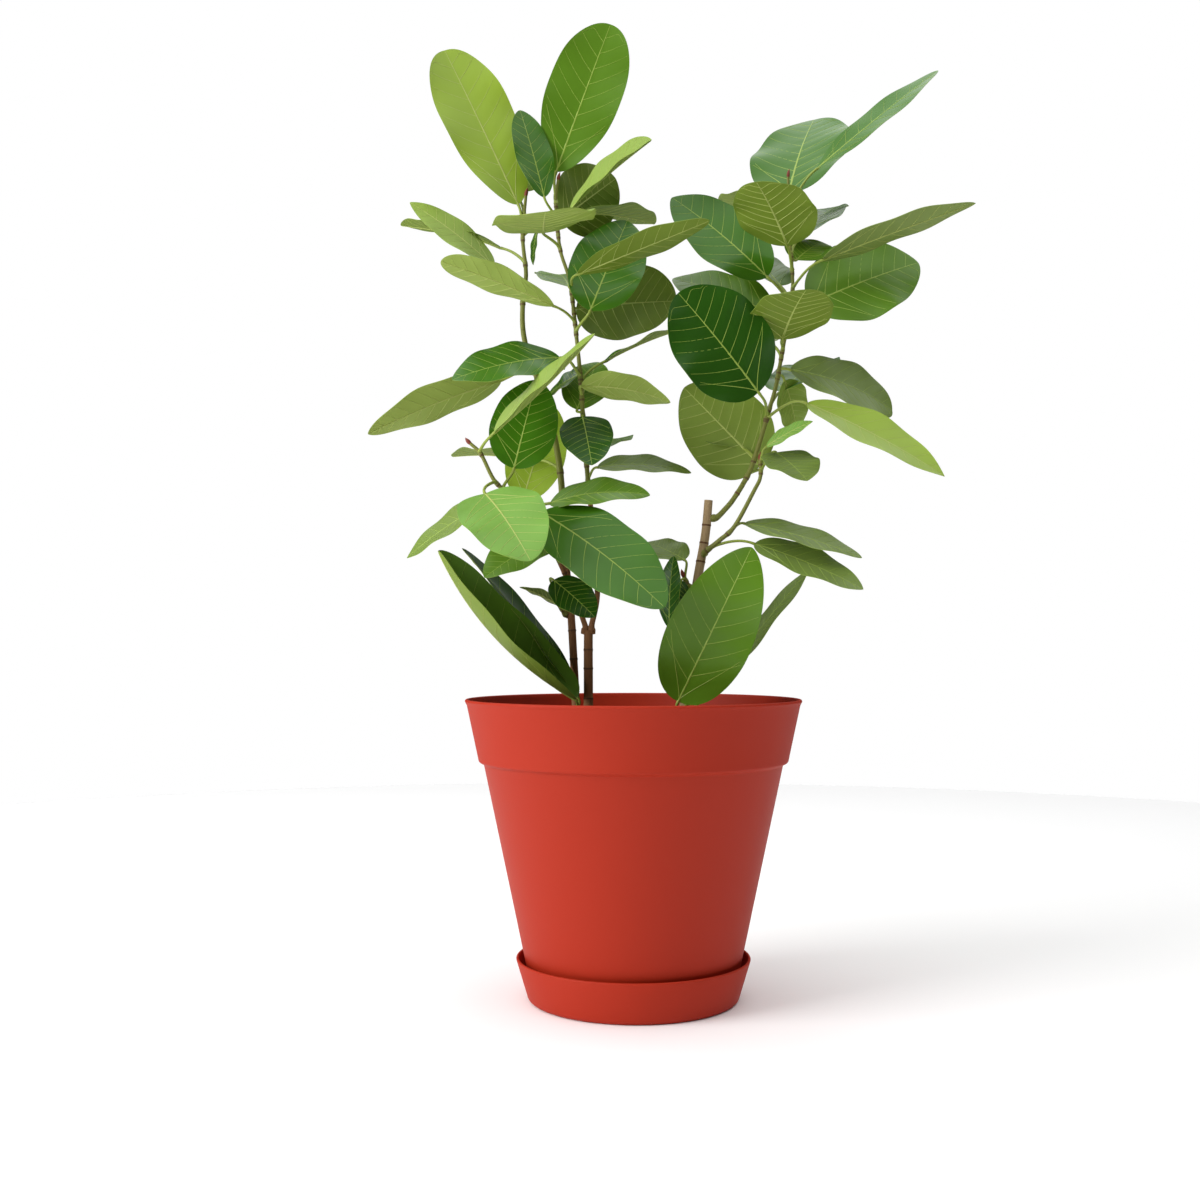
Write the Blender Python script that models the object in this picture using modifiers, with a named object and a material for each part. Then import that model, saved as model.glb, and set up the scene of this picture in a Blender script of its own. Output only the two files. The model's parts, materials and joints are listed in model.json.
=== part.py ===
# A young banyan in a plastic pot on its saucer: three stems, two of them forked, and long
# shoots with big oval leaves on stalks. Metres, +Z up. The origin is the middle of the saucer's
# flat underside. The viewer stands at -Y, so +X is right and +Y is back.
#
# Each shoot is one smooth tapering limb. Where it enters its leaves it goes on as the stem of a
# mass: the stem, the leaf stalks and the leaves fused into one solid. A leaf is laid out as a
# grower would note it down: the height at which its stalk leaves the shoot, where its blade
# starts, which way and how far the blade goes, how wide it is, and which way it faces.

import math
import random

import bmesh
import bpy
from mathutils import Vector

MM = 0.001

# Pot and saucer, radii and heights in millimetres
RIM_RADIUS = 150.0
RIM_TOP = 265.0
LIP = 3.2
BAND_FOOT_RADIUS = 138.0
BAND_FOOT = 212.0
BAND_ROUND = 3.0
BODY_TOP_RADIUS = 133.4
BODY_TAPER = 0.214
POT_WALL = 3.4
POT_FOOT = 3.9
POT_FOOT_ROUND = 7.0
SAUCER_RIM_RADIUS = 104.0
SAUCER_RIM = 37.0
SAUCER_FOOT_RADIUS = 94.5
SAUCER_ROUND = 5.0
SAUCER_WALL = 2.6
SAUCER_FLOOR = 3.6
SOIL_TOP = 235.0
CLEAR = 0.3
ROUND_STEPS = 40

# Shoots: pieces of a path between two of its points, how high a foot's flare reaches, the
# spacing of a tube's rings, the shortest last piece, and a height above every tip
PATH_STEPS = 6
FLARE_RISE = 6.0
RING_SPACING = 9.0
LAST_SPACING = 3.0
TIP = 999

# Leaves
BLADE_THICK = 1.8
BLADE_ROWS = (0.09, 0.34, 0.62, 0.89)
STALK_ROOT = 1.7
STALK_NECK = 1.35
STALK_END = 0.6
STALK_REACH = 0.33
STALK_BENDS = 3
STALK_LEAD = 0.35
STALK_LIFT = 0.10
BACK_LEAF = {"long": 108.0, "wide": 60.0, "stalk": 26.0, "lift": 8.0, "swing": 32.0,
             "rise": (5, 35), "size": (0.85, 1.1)}
GOLDEN_TURN = 137.5
SEED = 7

UP = (0, 0, 1)

# Shoots: the points that each passes through, right, back and up in millimetres, and its
# radius at the foot and at the tip. flare is how much wider the foot is where it meets the soil
SHOOTS = {
    "left_trunk": {
        "points": [(-40, -6, 235.3), (-40, -6, 246), (-40, -5, 298), (-40, -5, 326)],
        "radius": (4.3, 3.9),
        "flare": 4.5,
    },
    "left_inner": {
        "points": [(-37.2, -5, 326.3), (-37, -5, 331), (-32, -4, 358), (-34, -1, 400), (-40, 2, 455),
                   (-45, 2, 519), (-47, 2, 551), (-51, 2, 592), (-57, 3, 642), (-66, 3, 673),
                   (-70, 5, 714), (-68, 6, 738)],
        "radius": (2.6, 1.3),
        "flare": 0.0,
    },
    "left_side": {
        "points": [(-42.9, -5, 326.3), (-43, -5, 331), (-52, -7, 355), (-68, -14, 392), (-90, -25, 427),
                   (-110, -33, 446), (-122, -36, 458), (-133, -38, 480), (-143, -38, 490)],
        "radius": (2.5, 1.5),
        "flare": 0.0,
    },
    "left_outer": {
        "points": [(-51, 9, 235.3), (-51, 9, 246), (-56, 8, 341), (-62, 9, 400), (-66, 10, 470),
                   (-78, 12, 530), (-98, 8, 588), (-100, 5, 626), (-97, 4, 650), (-100, 2, 684),
                   (-97, 1, 722)],
        "radius": (3.9, 1.4),
        "flare": 3.5,
    },
    "right_trunk": {
        "points": [(45, 4, 235.3), (45, 4, 246), (52, 1, 320), (57, 0, 366), (65, 0, 412), (68, 0, 443)],
        "radius": (4.4, 3.8),
        "flare": 4.5,
    },
    "right_main": {
        "points": [(72.7, 0, 427), (76, 0, 428), (82, 1, 434), (91, 2, 445), (105, 3, 469), (115, 4, 498),
                   (122, 4, 522), (129, 3, 546), (136, 3, 583), (144, 3, 626), (144, 3, 657),
                   (141, 3, 690), (141, 3, 738)],
        "radius": (2.7, 1.2),
        "flare": 0.0,
    },
    "right_front": {
        "points": [(64.1, -5.5, 395), (65.8, -8.5, 397), (77, -14, 406), (90, -17, 418), (107, -18, 449),
                   (113, -17, 462), (113, -15, 478)],
        "radius": (2.4, 1.5),
        "flare": 0.0,
    },
    "left_foot": {
        "points": [(-51.4, 3.6, 246), (-51.6, 0.5, 247), (-52, -6, 252)],
        "radius": (2.2, 1.8),
        "flare": 0.0,
    },
    "left_node": {
        "points": [(-61.0, 7.1, 341), (-62.7, 5, 343), (-67, -2, 349)],
        "radius": (1.9, 1.5),
        "flare": 0.0,
    },
    "right_foot": {
        "points": [(46.2, -2.0, 247), (46.7, -5, 248), (49, -15, 253)],
        "radius": (2.2, 1.8),
        "flare": 0.0,
    },
    "right_inner": {
        "points": [(51.2, -0.8, 365), (48.5, -2.3, 368), (45, -5, 375)],
        "radius": (1.9, 1.5),
        "flare": 0.0,
    },
}

# Limbs: the stretch of each shoot below its leaves, from one height to another
LIMBS = {
    "trunk_left": ("left_trunk", 0, TIP),
    "trunk_right": ("right_trunk", 0, TIP),
    "stem_left_outer": ("left_outer", 0, 430),
    "bough_left_inner": ("left_inner", 0, 440),
    "bough_left_side": ("left_side", 0, 386),
    "bough_right_main": ("right_main", 0, 458),
}

# Masses of leaves: the stretch of shoot that is its stem, how many leaves grow at its back, and
# the bearing that those spread about, in degrees from the right towards the back
MASSES = {
    "leaves_left_foot": ("left_foot", 0, TIP, 0, 90),
    "leaves_left_node": ("left_node", 0, TIP, 0, 90),
    "leaves_left_low": ("left_side", 386, TIP, 0, 90),
    "leaves_left_middle": ("left_inner", 440, 590, 2, 55),
    "leaves_left_crown": ("left_inner", 590, TIP, 2, 78),
    "leaves_left_outer": ("left_outer", 430, 600, 2, 125),
    "leaves_left_tip": ("left_outer", 600, TIP, 1, 135),
    "leaves_right_foot": ("right_foot", 0, TIP, 0, 90),
    "leaves_right_inner": ("right_inner", 0, TIP, 0, 90),
    "leaves_right_low": ("right_front", 0, TIP, 0, 90),
    "leaves_right_middle": ("right_main", 458, 597, 3, 90),
    "leaves_right_crown": ("right_main", 597, TIP, 3, 90),
}


def leaf(at, start, blade, wide, face=UP, bow=0.03, fold=0.12, twist=0, full=0.43, point=1.25):
    """One leaf: stalk height on the shoot, blade start and reach, width, and how it is held.

    bow lifts the middle of the blade off the straight line, as a share of its length. fold
    lifts the margins off the midrib, as a share of the half width. twist turns the tip, in
    degrees. full is the share of the length where the blade is widest. point is how pointed its
    ends are: near 1 they are round.
    """
    return {"at": at, "start": start, "blade": blade, "wide": wide, "face": face,
            "bow": bow, "fold": fold, "twist": twist, "full": full, "point": point}


LEAVES = {
    "leaves_left_foot": [
        leaf(252, (-51, -24, 265), (-117, -32, 129), 48, (7, -4, 6), bow=-0.09, fold=0.95, point=1.1),
        leaf(249, (-49, -8, 266), (-105, 6, 134), 36, (5, -2, 3), bow=0.02, fold=0.3, point=1.1),
    ],
    "leaves_left_node": [
        leaf(343, (-64, -6, 347), (-36, -18, 17), 24, (0, 1, 8), bow=0.05),
        leaf(347, (-70, -26, 370), (37, -16, -33), 38, (0, -1, 1)),
    ],
    "leaves_left_low": [
        leaf(424, (-80, -45, 428), (106, -50, -84), 74, (0, -1, 0.9), bow=0.05, full=0.47, point=1.15),
        leaf(428, (-73, -26, 438), (88, -16, 5), 46, (0, -0.7, 1), bow=0.07),
        leaf(456, (-127, -60, 443), (44, -62, -62), 72, (0, -1, 1), bow=0.06, full=0.4, point=0.95),
        leaf(444, (-122, -36, 441), (-81, 30, -50), 44, (0, -0.7, 1)),
        leaf(402, (-72, -24, 410), (-54, -46, -40), 46, (0, -0.8, 1)),
        leaf(450, (-105, -26, 469), (19, 14, 81), 60, (0, -1, 0.1), bow=0.02, point=1.1),
        leaf(482, (-119, -58, 496), (87, -14, 82), 48, (-2, -1, 2), bow=-0.02, fold=0.3),
    ],
    "leaves_left_middle": [
        leaf(556, (-65, -12, 570), (-92, -38, -27), 56, (0, -1, 1), bow=0.05),
        leaf(562, (-49, 14, 560), (-30, 26, -14), 34, (0, -1, 1)),
        leaf(512, (-45, -12, 517), (10, -48, -50), 47, (0, -1, 1), point=1.2),
        leaf(538, (-46, -8, 545), (79, -24, -19), 38, (0.2, 0.6, 1), bow=0.07),
        leaf(522, (-51, 15, 528), (18, 45, 53), 44, (0, -1, 0.8)),
        leaf(462, (-32, 0, 473), (85, 10, -4), 38, (0, -0.6, 1), bow=0.06),
    ],
    "leaves_left_crown": [
        leaf(597, (-38, -10, 613), (33, 48, 96), 68, (0, -1, 0.2), bow=0.02, point=1.15),
        leaf(634, (-49, -24, 642), (115, -40, 35), 40, (0, 0.25, 1), bow=0, full=0.5),
        leaf(616, (-52, 22, 623), (94, 58, 21), 74, (0, 1, 0.6), full=0.52, point=1.1),
        leaf(606, (-70, -14, 616), (-98, -30, 33), 40, (0, 0.4, 1), bow=0.02, full=0.6),
        leaf(715, (-70, 12, 747), (50, -12, 131), 70, (0, -1, 0.1), bow=0.01, full=0.55, point=1.1),
        leaf(700, (-80, -4, 718), (-23, 10, 84), 36, (0.4, -1, 0.2), bow=0.02, full=0.5),
        leaf(692, (-57, -5, 706), (74, -25, 54), 44, (-0.3, -0.7, 1), bow=0.02, fold=0.35, full=0.62),
        leaf(686, (-66, 24, 706), (50, 34, 50), 66, (0, 1, 0.5), full=0.5, point=1.05),
        leaf(674, (-80, -18, 681), (8, -92, -10), 90, (-0.12, 0, 1), bow=0.02, fold=0.05, full=0.5,
             point=1.0),
    ],
    "leaves_left_outer": [
        leaf(566, (-121, 20, 556), (-119, -20, -52), 50, (0, 0.55, 1), fold=0.1),
        leaf(440, (-101, 22, 446), (26, 30, 92), 54, (0, -1, 0.2), bow=0.02),
    ],
    "leaves_left_tip": [
        leaf(626, (-126, -5, 655), (-76, 0, 59), 30, (0, -0.6, 1), twist=50, full=0.38),
        leaf(690, (-104, 0, 713), (-69, 10, 147), 68, (0.2, -1, 0.3), bow=0.01, full=0.56, point=1.05),
        leaf(705, (-103, 12, 729), (22, 34, 60), 48, (0, -1, 0.3), bow=0.02),
        leaf(684, (-88, 18, 694), (-4, 6, -30), 14, (-1, -0.5, 0)),
    ],
    "leaves_right_foot": [
        leaf(252, (39, -40, 264), (62, -24, 132), 74, (0, -1, 0), bow=0.02, full=0.42, point=1.1),
        leaf(250, (64, -10, 267), (93, 10, 113), 46, (-3, -1, 2), bow=0.0, fold=0.05, full=0.5),
        leaf(252, (32, -26, 328), (4, 0, 63), 26, (-1, -1, 0), fold=0.1, full=0.5),
    ],
    "leaves_right_inner": [
        leaf(372, (46, -5, 389), (-34, 30, 18), 38, (0, -0.6, 1)),
        leaf(372, (43, -9, 370), (-2, -3, -34), 24, (-1, -1, 0), fold=0.05),
    ],
    "leaves_right_low": [
        leaf(414, (99, -12, 421), (101, -18, -32), 42, (0, -0.5, 1)),
        leaf(400, (107, -22, 402), (92, -20, -41), 46, (0, -0.7, 1)),
        leaf(476, (118, -22, 488), (39, -14, 20), 24, (0, -0.7, 1)),
        leaf(468, (127, -14, 484), (23, -38, -30), 54, (0.3, -1, 1)),
    ],
    "leaves_right_middle": [
        leaf(520, (110, -34, 534), (-71, -24, 82), 88, (0, -1, 0.25), full=0.47, point=1.0),
        leaf(466, (116, 14, 476), (-68, 34, 78), 80, (0, 1, 0.3), point=1.05),
        leaf(562, (142, 2, 561), (97, 30, -32), 60, (0, -1, 0.8), bow=0.07, full=0.55, point=1.0),
        leaf(518, (154, -18, 527), (113, -36, -70), 50, (0, -0.8, 1), fold=0.2, point=1.5),
        leaf(556, (139, 22, 555), (14, 26, -44), 42, (0, -1, 1)),
        leaf(580, (133, -14, 585), (12, -76, 25), 72, bow=0.05, fold=0.05, point=1.1),
    ],
    "leaves_right_crown": [
        leaf(604, (125, 15, 616), (-87, 44, 44), 62, (0, -1, 1)),
        leaf(618, (160, 8, 622), (103, 20, 43), 84, (0, -1, 0.4), point=1.15),
        leaf(620, (121, -4, 644), (-85, 25, 81), 66, (0, -1, 0.5), bow=0.04),
        leaf(636, (169, -14, 656), (134, -10, 47), 42, (0, 0.25, 1), bow=0.01),
        leaf(652, (138, -14, 669), (-34, -74, 33), 72, bow=0.04, point=1.05),
        leaf(664, (150, 20, 666), (28, 32, 26), 44, (0, -1, 1)),
        leaf(700, (143, 15, 726), (33, 72, 96), 94, bow=0.04, fold=0.05, full=0.48, point=1.0),
        leaf(705, (165, -9, 740), (111, 8, 92), 36, (-0.3, -1, 0.8), bow=0.01, fold=0.1, twist=20,
             full=0.56, point=1.4),
    ],
}


def clear_scene():
    """Remove every object of the start-up scene."""
    for thing in list(bpy.data.objects):
        bpy.data.objects.remove(thing, do_unlink=True)


def finish(name, colour, roughness):
    """One Principled material."""
    made = bpy.data.materials.new(name)
    made.use_nodes = True
    shader = made.node_tree.nodes["Principled BSDF"]
    shader.inputs["Base Color"].default_value = (*colour, 1.0)
    shader.inputs["Roughness"].default_value = roughness
    shader.inputs["Metallic"].default_value = 0.0
    return made


def place(thing, collection, material):
    """Put an object in the plant's collection with its finish."""
    collection.objects.link(thing)
    thing.data.materials.append(material)
    for polygon in thing.data.polygons:
        polygon.use_smooth = True
    thing.data.set_sharp_from_angle(angle=math.radians(40))


def metres(point):
    """A point given in millimetres as a vector in metres."""
    return Vector(point) * MM


# Pot, saucer and soil
def arc(centre_radius, centre_height, radius, start, end, steps):
    """Points of a round corner in the (radius, height) plane, angles in degrees."""
    turns = [math.radians(start + (end - start) * step / steps) for step in range(steps + 1)]
    return [(centre_radius + radius * math.cos(turn), centre_height + radius * math.sin(turn))
            for turn in turns]


def turned(name, profile, collection, material):
    """A profile of (radius, height) points that starts and ends on the axis, turned about Z."""
    mesh = bpy.data.meshes.new(name)
    edges = [(i, i + 1) for i in range(len(profile) - 1)]
    mesh.from_pydata([metres((radius, 0, height)) for radius, height in profile], edges, [])
    thing = bpy.data.objects.new(name, mesh)
    collection.objects.link(thing)
    mesh.materials.append(material)
    screw = thing.modifiers.new("turn", "SCREW")
    screw.steps = ROUND_STEPS
    screw.render_steps = ROUND_STEPS
    screw.use_merge_vertices = True
    screw.merge_threshold = 0.00001
    screw.use_smooth_shade = True
    return thing


def body_radius(height):
    """Outer radius of the pot's tapering body at a height."""
    return BODY_TOP_RADIUS - BODY_TAPER * (BAND_FOOT - BAND_ROUND - height)


def band_radius(height):
    """Outer radius of the pot's rim band at a height."""
    share = (height - BAND_FOOT) / (RIM_TOP - LIP - BAND_FOOT)
    return BAND_FOOT_RADIUS + share * (RIM_RADIUS - 0.4 * LIP - BAND_FOOT_RADIUS)


def build_pot(collection, material):
    """The pot: rounded lip, tapering rim band, a rounded step, and a tapering body with a floor."""
    half_lip = LIP / 2
    lip = arc(RIM_RADIUS - half_lip, RIM_TOP - half_lip, half_lip, 135, -35, 5)
    band_foot = arc(BAND_FOOT_RADIUS - BAND_ROUND, BAND_FOOT, BAND_ROUND, 0, -80, 3)
    step = BAND_FOOT - BAND_ROUND
    body_top = (body_radius(step - 1.5), step - 1.5)
    floor_edge = body_radius(POT_FOOT + POT_FOOT_ROUND) - POT_FOOT_ROUND
    foot = arc(floor_edge, POT_FOOT + POT_FOOT_ROUND, POT_FOOT_ROUND, 0, -90, 4)
    inside_floor = POT_FOOT + POT_WALL
    inside = [
        (0, inside_floor),
        (body_radius(inside_floor) - POT_WALL - 2.0, inside_floor),
        (body_radius(inside_floor + 6) - POT_WALL, inside_floor + 6),
        (body_radius(step - 4) - POT_WALL, step - 4),
        (band_radius(BAND_FOOT + 2) - POT_WALL, BAND_FOOT + 2),
        (band_radius(RIM_TOP - LIP) - POT_WALL + 1.2, RIM_TOP - LIP),
    ]
    outside = lip + [(band_radius(RIM_TOP - LIP - 1.5), RIM_TOP - LIP - 1.5)] + band_foot
    outside += [body_top] + foot + [(0, POT_FOOT)]
    return turned("pot", inside + outside, collection, material)


def build_saucer(collection, material):
    """The saucer: a flat round dish with a flared wall and a rounded rim."""
    half_wall = SAUCER_WALL / 2
    rim = arc(SAUCER_RIM_RADIUS - half_wall, SAUCER_RIM - half_wall, half_wall, 180, 0, 4)
    corner = arc(SAUCER_FOOT_RADIUS - SAUCER_ROUND, SAUCER_ROUND, SAUCER_ROUND, 0, -90, 3)
    inside_corner = SAUCER_FOOT_RADIUS - SAUCER_WALL
    inside = [(0, SAUCER_FLOOR), (inside_corner - 3.0, SAUCER_FLOOR), (inside_corner, SAUCER_FLOOR + 2.5)]
    profile = inside + rim + corner + [(0, 0)]
    return turned("saucer", profile, collection, material)


def build_soil(collection, material):
    """The soil: it fills the pot to a little below the rim, a hair clear of the wall."""
    step = BAND_FOOT - BAND_ROUND
    floor = POT_FOOT + POT_WALL + CLEAR
    gap = POT_WALL + 2 * CLEAR
    profile = [
        (0, SOIL_TOP),
        (band_radius(SOIL_TOP) - gap, SOIL_TOP),
        (band_radius(BAND_FOOT + 3) - gap - 0.6, BAND_FOOT + 3),
        (body_radius(step - 5) - gap, step - 5),
        (body_radius(floor + 7) - gap, floor + 7),
        (body_radius(floor) - gap - 3.0, floor),
        (0, floor),
    ]
    return turned("soil", profile, collection, material)


# Limbs
def smooth_path(points, steps):
    """A smooth curve through the points (Catmull-Rom), steps pieces between each two."""
    ends = [2 * points[0] - points[1], *points, 2 * points[-1] - points[-2]]
    path = []
    for a, b, c, d in zip(ends, ends[1:], ends[2:], ends[3:]):
        for step in range(steps):
            t = step / steps
            path.append(0.5 * (2 * b + (c - a) * t + (2 * a - 5 * b + 4 * c - d) * t * t
                               + (3 * b - a - 3 * c + d) * t * t * t))
    return [*path, points[-1]]


def shoot_path(name):
    """A shoot's fine path in metres with its radius at each point."""
    shoot = SHOOTS[name]
    path = smooth_path([metres(point) for point in shoot["points"]], PATH_STEPS)
    foot, tip = shoot["radius"]
    last = len(path) - 1
    rows = []
    for index, point in enumerate(path):
        rise = (point.z - path[0].z) / MM
        flare = shoot["flare"] * math.exp(-rise / FLARE_RISE)
        rows.append((point, (foot + (tip - foot) * index / last + flare) * MM))
    return rows


def stretch(name, low, high):
    """The part of a shoot between two heights, cut half the clearance short at each cut."""
    rows = shoot_path(name)
    inside = [row for row in rows if low * MM <= row[0].z <= high * MM]
    cut_foot = rows[0][0].z < low * MM
    cut_tip = rows[-1][0].z > high * MM
    if cut_foot:
        inside.insert(0, point_at(rows, (low + CLEAR / 2) * MM))
    if cut_tip:
        inside.append(point_at(rows, (high - CLEAR / 2) * MM))
    thinned = [inside[0]]
    for row in inside[1:-1]:
        since_ring = (row[0] - thinned[-1][0]).length / MM
        to_the_end = (inside[-1][0] - row[0]).length / MM
        if since_ring > RING_SPACING and to_the_end > LAST_SPACING:
            thinned.append(row)
    return [*thinned, inside[-1]]


def point_at(rows, height):
    """The point and radius of a shoot at a height, between its path's points."""
    for (low, low_radius), (high, high_radius) in zip(rows, rows[1:]):
        if low.z <= height <= high.z:
            share = (height - low.z) / max(high.z - low.z, 1e-9)
            return low.lerp(high, share), low_radius + (high_radius - low_radius) * share
    return rows[-1] if height > rows[-1][0].z else rows[0]


def tube(name, rows, sides_level):
    """A closed tapering tube: a curve with a bevel and filled caps, made a mesh and welded."""
    curve = bpy.data.curves.new(name, "CURVE")
    curve.dimensions = "3D"
    curve.bevel_depth = MM
    curve.bevel_resolution = sides_level
    curve.use_fill_caps = True
    spline = curve.splines.new("POLY")
    spline.points.add(len(rows) - 1)
    for knot, (point, radius) in zip(spline.points, rows):
        knot.co = (*point, 1.0)
        knot.radius = radius / MM
    guide = bpy.data.objects.new(name + "_guide", curve)
    bpy.context.scene.collection.objects.link(guide)
    made = as_mesh(guide, name)
    bpy.data.objects.remove(guide, do_unlink=True)
    return made


def as_mesh(source, name):
    """A new mesh object from what an object looks like with its modifiers, loose caps welded."""
    seen = source.evaluated_get(bpy.context.evaluated_depsgraph_get())
    mesh = bpy.data.meshes.new_from_object(seen)
    mesh.transform(source.matrix_world)
    work = bmesh.new()
    work.from_mesh(mesh)
    bmesh.ops.remove_doubles(work, verts=work.verts, dist=0.00001)
    bmesh.ops.recalc_face_normals(work, faces=work.faces)
    work.to_mesh(mesh)
    work.free()
    return bpy.data.objects.new(name, mesh)


# Leaves
def outline(share, full, point):
    """Half width of a blade, as a share of its greatest, at a share of its length."""
    base = point * full
    tip = point - base
    return (share / full) ** base * ((1 - share) / (1 - full)) ** tip


def blade_frame(one, share):
    """Midrib point, direction across and upper-face direction at a share of a blade's length."""
    start = metres(one["start"])
    reach = metres(one["blade"])
    along = reach.normalized()
    face = Vector(one["face"])
    face = (face - face.dot(along) * along).normalized()
    lift = one["bow"] * 4 * share * (1 - share) * reach.length
    point = start + reach * share + face * lift
    turn = math.radians(one["twist"]) * share
    across = along.cross(face)
    side = across * math.cos(turn) + face * math.sin(turn)
    normal = face * math.cos(turn) - across * math.sin(turn)
    return point, side, normal


def blade_surface(one):
    """An open surface in the leaf's outline: the midrib line and a margin on each side."""
    points = [blade_frame(one, 0)[0]]
    half = one["wide"] * MM / 2
    for share in BLADE_ROWS:
        point, side, normal = blade_frame(one, share)
        reach = half * outline(share, one["full"], one["point"])
        for across in (-1, 0, 1):
            points.append(point + side * across * reach + normal * abs(across) * one["fold"] * reach)
    points.append(blade_frame(one, 1)[0])
    last = len(points) - 1
    faces = []
    for edge in (0, 1):
        faces.append((0, 1 + edge, 2 + edge))
        faces.append((last, last - 2 - edge + 1, last - 2 - edge))
    for row in range(len(BLADE_ROWS) - 1):
        for edge in (0, 1):
            corner = 1 + 3 * row + edge
            faces.append((corner, corner + 3, corner + 4, corner + 1))
    return points, faces


def blade(one, name):
    """A blade: its surface with a thickness."""
    points, faces = blade_surface(one)
    mesh = bpy.data.meshes.new(name)
    mesh.from_pydata(points, [], faces)
    work = bmesh.new()
    work.from_mesh(mesh)
    bmesh.ops.recalc_face_normals(work, faces=work.faces)
    bmesh.ops.triangulate(work, faces=work.faces)
    work.to_mesh(mesh)
    work.free()
    guide = bpy.data.objects.new(name + "_guide", mesh)
    bpy.context.scene.collection.objects.link(guide)
    wall = guide.modifiers.new("thickness", "SOLIDIFY")
    wall.thickness = BLADE_THICK * MM
    wall.offset = 0.0
    made = as_mesh(guide, name)
    bpy.data.objects.remove(guide, do_unlink=True)
    return made


def stalk(one, shoot, name):
    """A leaf stalk: it bends from the shoot into the blade and runs on as the midrib's foot."""
    root, _ = point_at(shoot_path(shoot), one["at"] * MM)
    start = metres(one["start"])
    along = metres(one["blade"]).normalized()
    span = (start - root).length
    lead_out = root + (start - root) * STALK_LEAD + Vector((0, 0, STALK_LIFT * span))
    lead_in = start - along * STALK_LEAD * span
    rows = []
    for step in range(STALK_BENDS + 1):
        t = step / STALK_BENDS
        point = ((1 - t) ** 3 * root + 3 * t * (1 - t) ** 2 * lead_out
                 + 3 * t * t * (1 - t) * lead_in + t ** 3 * start)
        rows.append((point, (STALK_ROOT + (STALK_NECK - STALK_ROOT) * t) * MM))
    for share in (0.5, 1.0):
        point = blade_frame(one, share * STALK_REACH)[0]
        rows.append((point, (STALK_NECK + (STALK_END - STALK_NECK) * share) * MM))
    return tube(name, rows, 1)


def back_leaves(shoot, low, high, count, bearing, dice):
    """Leaves at the back of a mass, spread about its bearing by the golden angle, seeded tilts."""
    rows = shoot_path(shoot)
    top = min(high, rows[-1][0].z / MM)
    found = []
    for index in range(count):
        height = low + (top - low) * (index + 0.5) / count
        root, _ = point_at(rows, height * MM)
        swing = BACK_LEAF["swing"] * math.sin(math.radians(GOLDEN_TURN * (index + 1)))
        turn = math.radians(bearing + swing)
        rise = math.radians(dice.uniform(*BACK_LEAF["rise"]))
        way = Vector((math.cos(turn) * math.cos(rise), math.sin(turn) * math.cos(rise), math.sin(rise)))
        size = dice.uniform(*BACK_LEAF["size"])
        start = root / MM + way * BACK_LEAF["stalk"] + Vector((0, 0, BACK_LEAF["lift"]))
        found.append(leaf(height, tuple(start), tuple(way * BACK_LEAF["long"] * size),
                          BACK_LEAF["wide"] * size))
    return found


def largest_body(mesh):
    """Keep a mesh's largest connected body: scraps go, and sealed hollows are filled."""
    work = bmesh.new()
    work.from_mesh(mesh)
    unseen = set(work.faces)
    bodies = []
    while unseen:
        front = [unseen.pop()]
        body = set(front)
        while front:
            near = {other for edge in front.pop().edges for other in edge.link_faces} & unseen
            unseen -= near
            body |= near
            front.extend(near)
        bodies.append(body)
    bodies.sort(key=lambda body: sum(face.calc_area() for face in body))
    dropped = [face for body in bodies[:-1] for face in body]
    bmesh.ops.delete(work, geom=dropped, context="FACES")
    bmesh.ops.dissolve_degenerate(work, dist=0.000002, edges=work.edges)
    bmesh.ops.triangulate(work, faces=work.faces)
    work.to_mesh(mesh)
    work.free()


def fuse(name, stem, pieces):
    """Join a stem and the pieces on it into one solid with one union on a collection."""
    group = bpy.data.collections.new(name + "_pieces")
    bpy.context.scene.collection.children.link(group)
    for piece in pieces:
        group.objects.link(piece)
    bpy.context.scene.collection.objects.link(stem)
    union = stem.modifiers.new("union", "BOOLEAN")
    union.operation = "UNION"
    union.operand_type = "COLLECTION"
    union.collection = group
    union.solver = "EXACT"
    made = as_mesh(stem, name)
    for piece in [stem, *pieces]:
        bpy.data.objects.remove(piece, do_unlink=True)
    bpy.data.collections.remove(group)
    largest_body(made.data)
    return made


def mass_leaves(name, dice):
    """Every leaf of a mass: those that are laid out, then those at its back."""
    shoot, low, high, count, bearing = MASSES[name]
    return LEAVES[name] + back_leaves(shoot, low, high, count, bearing, dice)


def build_mass(name, leaves, collection, material):
    """A mass: a stretch of shoot, and a stalk and a blade for each leaf, fused."""
    shoot, low, high, _, _ = MASSES[name]
    stem = tube(name + "_stem", stretch(shoot, low, high), 1)
    pieces = []
    for index, one in enumerate(leaves):
        pieces.append(blade(one, f"{name}_blade_{index}"))
        pieces.append(stalk(one, shoot, f"{name}_stalk_{index}"))
    place(fuse(name, stem, pieces), collection, material)


def main():
    """Build the potted plant, one named object for each part."""
    clear_scene()
    plant = bpy.data.collections.new("potted_banyan")
    bpy.context.scene.collection.children.link(plant)
    clay_red = finish("pot_plastic", (0.42, 0.050, 0.022), 0.55)
    earth = finish("soil", (0.040, 0.025, 0.016), 0.95)
    bark = finish("bark", (0.30, 0.17, 0.09), 0.75)
    green = finish("leaf", (0.055, 0.19, 0.015), 0.35)

    build_saucer(plant, clay_red)
    build_pot(plant, clay_red)
    build_soil(plant, earth)
    for name, (shoot, low, high) in LIMBS.items():
        place(tube(name, stretch(shoot, low, high), 2), plant, bark)
    dice = random.Random(SEED)
    for name in MASSES:
        build_mass(name, mass_leaves(name, dice), plant, green)


main()
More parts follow.
